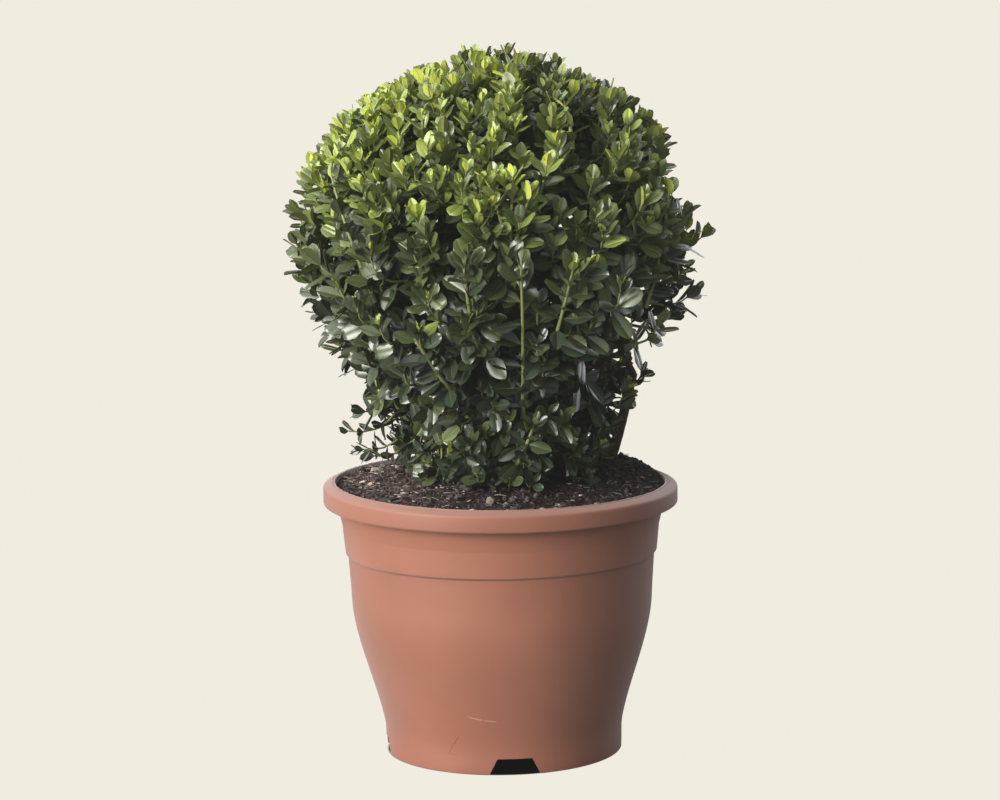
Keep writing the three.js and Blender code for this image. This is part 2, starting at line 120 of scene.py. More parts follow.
class CrownSettings(bpy.types.PropertyGroup):
    radius: length("Radius", "Radius of the crown where it is widest", 0.148)
    widest: length("Widest height", "Height where the crown is widest", 0.372)
    top: length("Top", "Height of the crown's top", 0.508)
    foot_radius: length("Foot radius", "Radius of the crown at the soil", 0.080)
    shoulder: amount("Shoulder", "How full the clipped top is, 2 for round", 2.12)
    heart: length("Heart height", "Height of the point that the masses' spaces meet in", 0.345)
    branches: number("Branches", "Branches in the crown", 106, 12)
    shoots: number("Shoots", "Leafy shoots in the crown", 940, 100)
    inner: number("Inner shoots", "Shaded shoots inside the crown", 210, 1)
    leaf_length: length("Leaf length", "Length of a grown leaf low on the crown", 0.0228)
    leaf_length_top: length("Upper leaf length", "Length of a grown leaf near the top", 0.0176)
    deep: colour("Deep green", "Colour of the oldest leaves", (0.034, 0.045, 0.019))
    fresh: colour("Fresh green", "Colour of young leaves", (0.203, 0.260, 0.047))
    young: colour("Yellow green", "Colour of leaf buds and the youngest leaves", (0.34, 0.41, 0.060))
    stem: colour("Young stem", "Colour of young stems", (0.21, 0.23, 0.080))
    bark: colour("Bark", "Colour of the old wood", (0.115, 0.086, 0.060))


class StageSettings(bpy.types.PropertyGroup):
    backdrop: colour("Backdrop", "Colour of the backdrop and the floor", (0.888, 0.847, 0.753))
    distance: length("Camera distance", "From the pot's axis to the camera", 2.3968)
    camera_height: length("Camera height", "Height of the camera", 0.6143)
    camera_side: length("Camera side", "How far the camera stands to the right of the pot's axis", 0.0007)
    pitch: angle("Pitch", "How far the camera looks down", 0.1466)
    roll: angle("Roll", "How far the camera is turned about its line of sight", -0.0150)
    lens: amount("Lens", "Focal length in millimetres", 118.72, 10)
    key: amount("Key light", "Strength of the key light", 4.5)
    top: amount("Top light", "Strength of the light from above", 1.5)
    rim: amount("Rim light", "Strength of the light from behind", 0.7)
    fill: amount("Fill light", "Strength of the fill light", 0.55)


# ------------------------------------------------------------------ small helpers


def seeded(seed):
    """Repeatable random numbers from 0 to 1, the same as the solids' own."""
    state = seed & 0xFFFFFFFF

    def dice():
        nonlocal state
        state = (state + 0x6D2B79F5) & 0xFFFFFFFF
        t = state
        t = ((t ^ (t >> 15)) * (t | 1)) & 0xFFFFFFFF
        t ^= (t + (t ^ (t >> 7)) * (t | 61)) & 0xFFFFFFFF
        return (t ^ (t >> 14)) / 4294967296

    return dice


def lerp(a, b, share):
    return a + (b - a) * share


def smoothstep(value, low, high):
    share = min(1.0, max(0.0, (value - low) / (high - low)))
    return share * share * (3 - 2 * share)


def polar(azimuth, radius, height):
    return np.array([radius * math.cos(azimuth), radius * math.sin(azimuth), height])


def unit(vector):
    return vector / max(1e-9, np.linalg.norm(vector))


def across(vector):
    """A unit vector at right angles to vector, level where it can be."""
    side = np.cross(vector, UP)
    if np.linalg.norm(side) < 0.1:
        side = np.cross(vector, [1.0, 0.0, 0.0])
    return unit(side)


def turned_about(vector, axis, turn):
    """vector, at right angles to axis, turned about it."""
    return vector * math.cos(turn) + np.cross(axis, vector) * math.sin(turn)


def catmull(points, steps):
    """Points spaced evenly along a centripetal Catmull-Rom curve."""
    points = [np.asarray(p, float) for p in points]
    ends = [2 * points[0] - points[1], *points, 2 * points[-1] - points[-2]]
    dense = []
    for x0, x1, x2, x3 in zip(ends, ends[1:], ends[2:], ends[3:]):
        d0, d1, d2 = (max(1e-6, math.sqrt(np.linalg.norm(b - a))) for a, b in ((x0, x1), (x1, x2), (x2, x3)))
        t1 = ((x1 - x0) / d0 - (x2 - x0) / (d0 + d1) + (x2 - x1) / d1) * d1
        t2 = ((x2 - x1) / d1 - (x3 - x1) / (d1 + d2) + (x3 - x2) / d2) * d1
        for t in np.linspace(0, 1, 40, endpoint=x3 is ends[-1]):
            a, b = 2 * t**3 - 3 * t**2, t**3 - t**2
            dense.append(x1 + a * (x1 - x2) + (b - t**2 + t) * t1 + b * t2)
    return evenly(np.array(dense), steps)


def along_path(path):
    """How far along the path each of its points is."""
    return np.concatenate(([0], np.cumsum(np.linalg.norm(np.diff(path, axis=0), axis=1))))


def path_point(path, far, wanted):
    """The points at the wanted distances along a path, where far is along_path(path)."""
    return np.stack([np.interp(wanted, far, path[:, i]) for i in range(3)], axis=-1)


def evenly(path, steps):
    """The path resampled to steps + 1 points at equal distances."""
    far = along_path(path)
    return path_point(path, far, np.linspace(0, far[-1], steps + 1))


def bezier(start, middle, end, steps):
    t = np.linspace(0, 1, steps + 1)[:, None]
    return (1 - t) ** 2 * start + 2 * t * (1 - t) * middle + t**2 * end


# ------------------------------------------------------------------ pieces


def in_scene(name, data):
    obj = bpy.data.objects.new(name, data)
    bpy.context.scene.collection.objects.link(obj)
    return obj


def finished(mesh, nodes):
    """Puts a finished piece in the scene as a stand-in for these CAD nodes."""
    obj = in_scene(mesh.name, mesh)
    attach(obj, "root")
    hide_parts(*nodes)
    return obj


def new_mesh(name, materials):
    mesh = bpy.data.meshes.new(name)
    for material in materials:
        mesh.materials.append(material)
    return mesh


def mesh_from_bmesh(name, bm, materials=()):
    mesh = new_mesh(name, materials)
    bm.to_mesh(mesh)
    bm.free()
    return mesh


def piece_from_bmesh(name, bm, materials, nodes):
    for face in bm.faces:
        face.smooth = True
    return finished(mesh_from_bmesh(name, bm, materials), nodes)


def piece_from_arrays(name, shapes, materials, nodes):
    """A joined piece from shapes that are each their points and some pairs of faces and the faces' slots."""
    mesh = new_mesh(name, materials)
    vertices, corners, sizes, slots, count = [], [], [], [], 0
    for points, *parts in shapes:
        for faces, face_slots in parts:
            corners.append((faces + count).ravel())
            sizes.append(np.full(len(faces), faces.shape[1]))
            slots.append(face_slots)
        vertices.append(points)
        count += len(points)
    vertices, corners, sizes, slots = (np.concatenate(x) for x in (vertices, corners, sizes, slots))
    mesh.vertices.add(len(vertices))
    mesh.vertices.foreach_set("co", vertices.astype(np.float32).ravel())
    mesh.loops.add(len(corners))
    mesh.loops.foreach_set("vertex_index", corners.astype(np.int32))
    mesh.polygons.add(len(sizes))
    mesh.polygons.foreach_set("loop_start", (np.cumsum(sizes) - sizes).astype(np.int32))
    mesh.polygons.foreach_set("material_index", slots.astype(np.int32))
    mesh.polygons.foreach_set("use_smooth", np.ones(len(sizes), dtype=bool))
    mesh.update(calc_edges=True)
    if mesh.validate():
        raise RuntimeError(f"{name} has faulty faces")
    return finished(mesh, nodes)


def filleted(corners, segments=4):
    """Profile points from (radius, height, fillet) corners, each rounded by an arc of its fillet."""
    points = []
    for i, (x, z, fillet) in enumerate(corners):
        here = Vector((x, z))
        if not fillet:
            points.append(here)
            continue
        back = (Vector(corners[i - 1][:2]) - here).normalized()
        ahead = (Vector(corners[i + 1][:2]) - here).normalized()
        half = back.angle(ahead) / 2
        centre = here + (back + ahead).normalized() * (fillet / math.sin(half))
        first = here + back * (fillet / math.tan(half)) - centre
        last = here + ahead * (fillet / math.tan(half)) - centre
        for step in range(segments + 1):
            points.append(centre + first.lerp(last, step / segments).normalized() * fillet)
    return points


def spun(profile, steps):
    """A bmesh of revolution about Z from profile points of (radius, height)."""
    bm = bmesh.new()
    verts = [bm.verts.new((x, 0, z)) for x, z in profile]
    edges = [bm.edges.new(pair) for pair in zip(verts, verts[1:])]
    bmesh.ops.spin(
        bm, geom=verts + edges, cent=(0, 0, 0), axis=(0, 0, 1), angle=math.tau, steps=steps, use_merge=True
    )
    bmesh.ops.remove_doubles(bm, verts=bm.verts, dist=1e-6)
    bmesh.ops.recalc_face_normals(bm, faces=bm.faces)
    return bm


def cut_out(obj, cutter):
    """Cuts the cutter's form out of obj's mesh, and removes the cutter."""
    modifier = obj.modifiers.new("Cut", "BOOLEAN")
    modifier.object = cutter
    modifier.operation = "DIFFERENCE"
    modifier.solver = "EXACT"
    bpy.context.view_layer.update()
    mesh = bpy.data.meshes.new_from_object(obj.evaluated_get(bpy.context.evaluated_depsgraph_get()))
    old = obj.data
    obj.modifiers.remove(modifier)
    obj.data = mesh
    mesh.name = old.name
    bpy.data.meshes.remove(old)
    bpy.data.objects.remove(cutter)


# ------------------------------------------------------------------ materials


def new_material(name, base, roughness, **sockets):
    """A material with these values, as (material, its tree, its shader)."""
    material = bpy.data.materials.new(name)
    material.use_nodes = True
    shader = material.node_tree.nodes["Principled BSDF"]
    shader.inputs["Base Color"].default_value = (*base, 1)
    shader.inputs["Roughness"].default_value = roughness
    for key, value in sockets.items():
        shader.inputs[key.replace("_", " ")].default_value = value
    material.diffuse_color = (*base, 1)
    return material, material.node_tree, shader


def plain_materials(rows):
    """Materials from rows of name, colour and roughness."""
    return [new_material(*row)[0] for row in rows]


def node(tree, kind, inputs=None, **values):
    """A node whose inputs are linked where a socket is given, and set otherwise."""
    made = tree.nodes.new(kind)
    for key, value in values.items():
        setattr(made, key, value)
    for key, value in (inputs or {}).items():
        if isinstance(value, bpy.types.NodeSocket):
            tree.links.new(value, made.inputs[key])
        else:
            made.inputs[key].default_value = value
    return made


def object_place(tree):
    return node(tree, "ShaderNodeTexCoord").outputs["Object"]


def component(tree, vector, axis):
    return node(tree, "ShaderNodeSeparateXYZ", {0: vector}).outputs[axis]


def maths(tree, operation, first, second=0.5):
    return node(tree, "ShaderNodeMath", {0: first, 1: second}, operation=operation).outputs[0]


def product(tree, first, *others):
    for other in others:
        first = maths(tree, "MULTIPLY", first, other)
    return first


def vectors(tree, operation, first, second=(0, 0, 0)):
    """A sum with vectors: its value where it is a length or a dot product, and its vector otherwise."""
    made = node(tree, "ShaderNodeVectorMath", {0: first, 1: second}, operation=operation)
    return made.outputs["Value" if operation in ("LENGTH", "DOT_PRODUCT") else "Vector"]


def ramp(tree, value, start, end, low=0.0, high=1.0, **values):
    """Low where value is at start and high where it is at end, between the two, and held beyond them."""
    inputs = {"Value": value, "From Min": start, "From Max": end, "To Min": low, "To Max": high}
    return node(tree, "ShaderNodeMapRange", inputs, **values).outputs[0]


def noise_at(tree, where, scale, detail):
    return node(tree, "ShaderNodeTexNoise", {"Vector": where, "Scale": scale, "Detail": detail}).outputs[0]


def mix_colours(tree, factor, first, second, blend="MIX"):
    """A colour mix whose three inputs are sockets or values."""
    mixed = node(tree, "ShaderNodeMix", data_type="RGBA", blend_type=blend)
    # The colour sockets of a Mix node share their names with the others', so they go by number.
    for index, value in ((0, factor), (6, first), (7, second)):
        if isinstance(value, bpy.types.NodeSocket):
            tree.links.new(value, mixed.inputs[index])
        else:
            mixed.inputs[index].default_value = value if index == 0 else (*value, 1)
    return mixed.outputs[2]


MOTTLE_INPUTS = {
    "First": "Color",
    "Second": "Color",
    "Scale": "Float",
    "Balance": "Float",
    "Softness": "Float",
}
MOTTLE_OUTPUTS = {"Color": "Color", "Mask": "Float", "Height": "Float"}


def mottle_group():
    """A node group that puts out two colours in soft patches, and a fine height."""
    if "Mottle" in bpy.data.node_groups:
        return bpy.data.node_groups["Mottle"]
    tree = bpy.data.node_groups.new("Mottle", "ShaderNodeTree")
    for direction, sockets in (("INPUT", MOTTLE_INPUTS), ("OUTPUT", MOTTLE_OUTPUTS)):
        for name, kind in sockets.items():
            tree.interface.new_socket(name=name, in_out=direction, socket_type=f"NodeSocket{kind}")
    given, put = tree.nodes.new("NodeGroupInput").outputs, tree.nodes.new("NodeGroupOutput").inputs
    where = object_place(tree)
    low, high = (maths(tree, way, given["Balance"], given["Softness"]) for way in ("SUBTRACT", "ADD"))
    mask = ramp(tree, noise_at(tree, where, given["Scale"], 5.0), low, high)
    tree.links.new(mix_colours(tree, mask, given["First"], given["Second"]), put["Color"])
    tree.links.new(mask, put["Mask"])
    fine_scale = maths(tree, "MULTIPLY", given["Scale"], 9.0)
    tree.links.new(noise_at(tree, where, fine_scale, 4.0), put["Height"])
    return tree


def add_mottle(tree, first, second, scale, balance, softness):
    """The mottle group's outputs for these two colours."""
    values = zip(MOTTLE_INPUTS, ((*first, 1), (*second, 1), scale, balance, softness))
    return node(tree, "ShaderNodeGroup", dict(values), node_tree=mottle_group()).outputs


def add_bump(tree, shader, height, strength, distance):
    bump = node(tree, "ShaderNodeBump", {"Height": height, "Strength": strength, "Distance": distance})
    tree.links.new(bump.outputs[0], shader.inputs["Normal"])


# ------------------------------------------------------------------ pot

# A drain notch in the foot: half width and height at its foot, which is under the ground, and at its top.
NOTCH_FOOT = (19.6 * MM, -2 * MM)
NOTCH_TOP = (12.6 * MM, 12 * MM)

# The mouth's inside has a pale painted highlight around here, at the back left.
PAINTED_HIGHLIGHT_AT = (-0.078, 0.098, 0.193)

# Scratches on the wall: azimuth in degrees and height of both ends, half width and tint.
SCRATCHES = [
    ((-106.4, 0.0445), (-99.0, 0.0418), 0.0006, (0.52, 0.30, 0.22)),
    ((-99.4, 0.0420), (-92.8, 0.0408), 0.0005, (0.52, 0.29, 0.22)),
    ((-111.3, 0.0282), (-114.8, 0.0208), 0.0006, (0.09, 0.03, 0.02)),
    ((-114.5, 0.0214), (-117.4, 0.0140), 0.0006, (0.10, 0.035, 0.025)),
    ((-117.6, 0.0146), (-112.0, 0.0138), 0.0004, (0.13, 0.05, 0.035)),
    ((-116.0, 0.0162), (-93.0, 0.0162), 0.0004, (0.42, 0.20, 0.14)),
]


def wall_radius(pot, height):
    """Outer radius of the wall and its band."""
    if height < pot.band_foot:
        belly = lerp(pot.foot_radius, pot.belly_radius, smoothstep(height, 0, pot.belly_height))
        flare = 1.5 * MM * (1 - smoothstep(height, 4 * MM, 22 * MM))
        return belly + flare + 0.067 * max(0, height - pot.belly_height)
    up_band = (height - pot.band_foot) / (pot.rim_foot - pot.band_foot)
    return lerp(pot.band_radius, pot.band_top_radius, up_band)


def pot_profile(pot):
    """The wall's outline in half section, from the underside of the floor round to its top side."""
    ring = pot.foot_radius - 4.5 * MM
    floor_top = pot.floor + 2.5 * MM
    belly = [(wall_radius(pot, z), z, 0) for z in np.linspace(6 * MM, pot.band_foot - 6 * MM, 26)]
    inside = [(wall_radius(pot, z) - pot.wall, z, 0) for z in np.linspace(floor_top, pot.belly_height, 12)]
    foot = [
        (0, pot.floor, 0),
        (ring, pot.floor, 1.5 * MM),
        (ring, 0, 0.7 * MM),
        (wall_radius(pot, 0), 0, 1.0 * MM),
    ]
    band = [
        (wall_radius(pot, pot.band_foot - 1 * MM), pot.band_foot - 0.7 * MM, 0.6 * MM),
        (pot.band_radius, pot.band_foot + 0.9 * MM, 0.6 * MM),
        (lerp(pot.band_radius, pot.band_top_radius, 0.5), lerp(pot.band_foot, pot.rim_foot, 0.5), 0),
    ]
    web, under = pot.rim_radius - 3 * MM, 192 * MM
    rim = [
        (pot.band_top_radius + 0.5 * MM, under, 1.5 * MM),
        (web, under, 1.2 * MM),
        (web, pot.rim_foot, 0.9 * MM),
        (pot.rim_radius, pot.rim_foot, 1.3 * MM),
        (pot.rim_radius, pot.height - 3.4 * MM, 2.4 * MM),
        (pot.rim_mouth + 2.6 * MM, pot.height - 0.5 * MM, 0.3 * MM),
        (pot.rim_mouth + 2.0 * MM, pot.height - 0.9 * MM, 0.3 * MM),
        (pot.rim_mouth + 1.5 * MM, pot.height, 0.5 * MM),
        (pot.rim_mouth, pot.height, 0.7 * MM),
        (pot.rim_mouth, pot.rim_foot + 4 * MM, 1.5 * MM),
    ]
    back = [(pot.band_radius - pot.wall, pot.band_foot + 2 * MM, 0), *reversed(inside), (0, floor_top, 0)]
    return filleted([*foot, *belly, *band, *rim, *back])


def warp(x, y, height):
    """How far the rim and the soil's edge are bent up: by 3 mm at the back left, and not at all opposite."""
    turn = math.atan2(y, x) - math.radians(150)
    return 3 * MM * (0.5 + 0.5 * math.cos(turn)) ** 1.5 * smoothstep(height, 0.176, 0.190)


def notch_cutters(pot):
    """Tapered blocks that cut the drain notches out of the foot, and drills for the floor's drain holes."""
    bm = bmesh.new()
    for i in range(pot.notches):
        cube = bmesh.ops.create_cube(bm, size=1)["verts"]
        for vert in cube:
            half, height = NOTCH_TOP if vert.co.z > 0 else NOTCH_FOOT
            reach = pot.foot_radius + vert.co.x * 40 * MM - 4 * MM
            vert.co = (reach, math.copysign(half, vert.co.y), height)
        turn = Matrix.Rotation(pot.notch_angle + math.tau * i / pot.notches, 4, "Z")
        bmesh.ops.transform(bm, matrix=turn, verts=cube)
        place = turn @ Matrix.Translation((62 * MM, 0, pot.floor))
        bmesh.ops.create_cone(
            bm, cap_ends=True, segments=32, radius1=6 * MM, radius2=6 * MM, depth=12 * MM, matrix=place
        )
    bmesh.ops.recalc_face_normals(bm, faces=bm.faces)
    return in_scene("cutters", mesh_from_bmesh("cutters", bm))


def hairline(tree, where, start, end, width):
    """A mask along the line between two points, soft over its width and fading at its ends."""
    start, end = Vector(start), Vector(end)
    far = (end - start).length
    along = (end - start) / far
    offset = vectors(tree, "SUBTRACT", where, start)
    run = vectors(tree, "DOT_PRODUCT", offset, along)
    away = vectors(tree, "SUBTRACT", offset, vectors(tree, "MULTIPLY", run, along))
    near = ramp(tree, vectors(tree, "LENGTH", away), width, width * 0.3)
    from_middle = maths(tree, "ABSOLUTE", maths(tree, "SUBTRACT", run, far / 2))
    return product(tree, near, ramp(tree, from_middle, far / 2, far * 0.3))


def plastic_material(pot):
    """Moulded plastic with soft mottling, dust, dirt and scratches, with painted light and shade on it: a
    paler band, a darker foot and rim, paler faces that look up, a painted shadow under the band and a painted
    highlight inside the mouth.
    """
    base = np.array(pot.plastic)
    material, tree, shader = new_material(
        "terracotta_plastic", base, 0.5, Specular_IOR_Level=0.38, Sheen_Weight=0.32, Sheen_Roughness=0.45
    )
    mottle = add_mottle(tree, base * 0.90, np.minimum(1, base * 1.08), 14, 0.5, 0.25)
    where = object_place(tree)
    height = component(tree, where, "Z")
    radius = vectors(tree, "LENGTH", vectors(tree, "MULTIPLY", where, (1, 1, 0)))
    upward = component(tree, node(tree, "ShaderNodeNewGeometry").outputs["Normal"], "Z")
    from_shadow_line = maths(tree, "ABSOLUTE", maths(tree, "SUBTRACT", height, pot.band_foot - 0.3 * MM))
    from_painted_highlight = vectors(tree, "LENGTH", vectors(tree, "SUBTRACT", where, PAINTED_HIGHLIGHT_AT))
    on_rim = ramp(tree, height, pot.rim_foot - 0.6 * MM, pot.rim_foot + 0.9 * MM)
    film = product(
        tree,
        ramp(tree, height, 197.0 * MM, 192.5 * MM),
        on_rim,
        ramp(tree, radius, pot.rim_mouth + 0.7 * MM, pot.rim_mouth + 0.1 * MM),
        ramp(tree, noise_at(tree, where, 90.0, 6.0), 0.35, 0.62),
    )
    # A pale painted highlight on the inside of the mouth at the back left.
    mouth_highlight = product(
        tree,
        ramp(tree, from_painted_highlight, 85 * MM, 50 * MM),
        ramp(tree, radius, pot.rim_mouth + 4.7 * MM, pot.rim_mouth + 3.5 * MM),
        on_rim,
    )
    band_painted_light = ramp(tree, height, pot.band_foot - 0.8 * MM, pot.band_foot + 1.2 * MM)
    layers = [
        # Painted light and shade: the band is painted paler to lift the rim's shadow on it, and the wall's
        # foot and the rim are painted a little darker as shade.
        (band_painted_light, (1.11, 1.12, 1.12), "MULTIPLY"),
        (ramp(tree, height, 70 * MM, 0.0), (0.95, 0.89, 0.87), "MULTIPLY"),
        (ramp(tree, height, 176 * MM, 184 * MM), (0.90, 0.90, 0.91), "MULTIPLY"),
        # Where the surface looks up it is paler, partly with dust and partly as painted light from above, and
        # a painted shadow darkens the corner under the band.
        (ramp(tree, upward, 0.35, 0.95, 0.0, 0.24), (0.40, 0.28, 0.245), "MIX"),
        (ramp(tree, from_shadow_line, 0.9 * MM, 0.3 * MM, 0.0, 0.6), base * 0.35, "MIX"),
        # Dried soil clings to the inside of the mouth, which has a pale painted highlight at the back left.
        (film, pot.grime, "MIX"),
        (mouth_highlight, (0.80, 0.66, 0.66), "MIX"),
    ]
    for start, end, width, tint in SCRATCHES:
        ends = [polar(math.radians(turn), wall_radius(pot, z), z) for turn, z in (start, end)]
        layers.append((product(tree, hairline(tree, where, *ends, width), 0.6), tint, "MIX"))
    colour_now = mottle["Color"]
    for mask, tint, blend in layers:
        colour_now = mix_colours(tree, mask, colour_now, tint, blend)
    tree.links.new(colour_now, shader.inputs["Base Color"])
    tree.links.new(ramp(tree, mottle["Mask"], 0.0, 1.0, 0.50, 0.60), shader.inputs["Roughness"])
    add_bump(tree, shader, mottle["Height"], 0.12, 0.4 * MM)
    return material


class TOPIARY_OT_pot(bpy.types.Operator):
    """Builds the container pot with its rolled rim, band, foot notches and drain holes"""

    bl_idname = "topiary.pot"
    bl_label = "Pot"

    def execute(self, context):
        pot = context.scene.topiary_pot
        bm = spun(pot_profile(pot), 160)
        for vert in bm.verts:
            vert.co.z += warp(*vert.co)
        obj = piece_from_bmesh("container_pot", bm, [plastic_material(pot)], ["pot"])
        cut_out(obj, notch_cutters(pot))
        obj.data.shade_smooth()
        obj.data.set_sharp_from_angle(angle=math.radians(38))
        return {"FINISHED"}


# ------------------------------------------------------------------ soil

# Mounds on the soil, at the back right and at the left: place, half width, half depth and height.
MOUNDS = [(0.078, 0.058, 0.045, 0.05, 10.5 * MM), (-0.085, 0.02, 0.04, 0.05, 3 * MM)]

# Left of here more crumbs and fibres are pale, as painted light on the side to the key light.
PAINTED_LIGHT_SIDE = -0.025

# The tints of what lies on the soil, in the order of its material slots.
DARK, BROWN, PALE, PEAT, STRAW, CHIP, PALE_PEBBLE, GREY_PEBBLE, DARK_PEBBLE, BROWN_FIBRE = range(10)

# Stones and lumps: place on the soil, half length, half width, half height in millimetres, and tint.
STONES = [
    (-0.0235, -0.0555, 4.6, 3.4, 2.6, DARK_PEBBLE),
    (-0.0300, -0.0730, 2.6, 2.2, 1.9, GREY_PEBBLE),
    (-0.0345, -0.0690, 2.2, 2.0, 1.6, DARK_PEBBLE),
    (-0.0075, -0.0900, 2.9, 2.4, 3.4, PALE_PEBBLE),
    (0.0030, -0.0760, 1.8, 1.7, 2.4, DARK_PEBBLE),
    (0.0085, -0.0790, 2.0, 1.7, 2.9, GREY_PEBBLE),
    (0.0190, -0.0790, 1.9, 1.6, 2.6, DARK_PEBBLE),
    (0.0255, -0.0740, 1.5, 1.3, 2.2, GREY_PEBBLE),
    (-0.0820, -0.0620, 6.5, 3.0, 1.8, DARK_PEBBLE),
    (-0.0690, -0.0800, 5.0, 2.6, 1.6, PEAT),
    (0.0100, -0.1010, 4.5, 2.2, 1.4, DARK_PEBBLE),
    (0.0440, -0.0930, 3.4, 2.0, 1.5, DARK_PEBBLE),
    (-0.0930, 0.0330, 4.8, 2.6, 3.4, CHIP),
    (-0.1010, -0.0010, 2.6, 1.2, 1.2, STRAW),
    (-0.0950, -0.0160, 2.8, 1.2, 1.2, STRAW),
    (-0.0760, 0.0260, 2.4, 1.5, 1.5, CHIP),
    (0.0010, -0.1000, 4.4, 0.7, 0.8, STRAW),
]


def soil_reach(pot):
    """Radius of the soil's edge, just inside the mouth."""
    return pot.rim_mouth - 0.4 * MM


def soil_height(pot, soil, x, y):
    """Height of the soil's surface: higher around the stems, at the back and in its mounds, and in clods."""
    radius = math.hypot(x, y)
    middle = 1 - smoothstep(radius, 0.045, soil_reach(pot))
    back = 3 * MM * smoothstep(y / max(radius, 1e-6), -0.5, 0.6)
    form = lerp(soil.edge, soil.level, middle) + back
    for at_x, at_y, wide, deep, high in MOUNDS:
        form += high * math.exp(-(((x - at_x) / wide) ** 2) - ((y - at_y) / deep) ** 2)
    clods = noise.fractal(Vector((x, y, 0.3)) * 60, 0.9, 2.0, 4) * 3.2 * MM
    grit = noise.fractal(Vector((x, y, 1.7)) * 420, 0.8, 2.0, 3) * 1.3 * MM
    settled = smoothstep(soil_reach(pot) - radius, 0, 8 * MM)
    return form + settled * clods + grit + 0.7 * warp(x, y, soil.edge)


def soil_material(soil):
    """Moist soil, with painted light that makes it paler in patches on the side to the light, and painted
    shade that darkens it at the front.
    """
    material, tree, shader = new_material("potting_soil", soil.dark, 0.92, Specular_IOR_Level=0.25)
    mottle = add_mottle(tree, soil.dark, soil.light, 160, 0.56, 0.14)
    where = object_place(tree)
    # Painted light: the left, toward the key light, is paler in patches. Painted shade: the front, under the
    # leaves, is darker.
    leftward = ramp(tree, component(tree, where, "X"), -15 * MM, -75 * MM)
    lit_patches = product(tree, leftward, ramp(tree, noise_at(tree, where, 230.0, 5.0), 0.44, 0.56))
    front_shade = ramp(tree, component(tree, where, "Y"), -50 * MM, -78 * MM)
    dried = mix_colours(tree, lit_patches, mottle["Color"], (0.155, 0.107, 0.095))
    with_front_shade = mix_colours(tree, front_shade, dried, (0.70, 0.68, 0.67), "MULTIPLY")
    tree.links.new(with_front_shade, shader.inputs["Base Color"])
    add_bump(tree, shader, mottle["Height"], 1.0, 1.8 * MM)
    return material


def litter_materials(soil):
    brown = lerp(np.array(soil.dark), np.array(soil.light), 0.6)
    return plain_materials(
        [
            ("crumb_dark", soil.dark, 0.95),
            ("crumb_brown", brown, 0.95),
            ("crumb_light", soil.light, 0.95),
            ("peat_red", (0.050, 0.024, 0.019), 0.95),
            ("fibre_pale", soil.fibre, 0.8),
            ("chip_tan", (0.30, 0.235, 0.17), 0.85),
            ("pebble_pale", (0.20, 0.16, 0.13), 0.8),
            ("pebble_grey", (0.068, 0.055, 0.046), 0.8),
            ("pebble_dark", (0.034, 0.031, 0.030), 0.75),
            ("fibre_brown", (0.110, 0.078, 0.070), 0.9),
        ]
    )


def icosphere(subdivisions):
    """The corners and the faces of a ball of radius 1."""
    bm = bmesh.new()
    bmesh.ops.create_icosphere(bm, subdivisions=subdivisions, radius=1)
    corners = np.array([v.co[:] for v in bm.verts])
    faces = np.array([[v.index for v in f.verts] for f in bm.faces])
    bm.free()
    return corners, faces


def tubes(paths, radii, sides):
    """Joined open tubes of quads along paths of equal length, as (points, faces)."""
    paths, radii = np.array(paths), np.array(radii)
    count, rings = radii.shape
    along = np.gradient(paths, axis=1)
    along /= np.maximum(1e-9, np.linalg.norm(along, axis=2, keepdims=True))
    overall = paths[:, -1] - paths[:, 0]
    upright = np.abs(overall[:, 2:]) >= 0.8 * np.linalg.norm(overall, axis=1, keepdims=True)
    side = np.cross(along, np.where(upright, [1.0, 0, 0], UP)[:, None])
    side /= np.maximum(1e-9, np.linalg.norm(side, axis=2, keepdims=True))
    other = np.cross(along, side)
    turns = np.arange(sides) * math.tau / sides
    ring = side[:, :, None] * np.cos(turns)[:, None] + other[:, :, None] * np.sin(turns)[:, None]
    points = paths[:, :, None] + ring * radii[:, :, None, None]
    step = np.arange(rings - 1)[:, None] * sides
    turn = np.arange(sides)
    ahead = (turn + 1) % sides
    quads = np.stack([step + turn, step + sides + turn, step + sides + ahead, step + ahead], axis=2)
    faces = quads.reshape(1, -1, 4) + (np.arange(count) * rings * sides)[:, None, None]
    return points.reshape(-1, 3), faces.reshape(-1, 4)


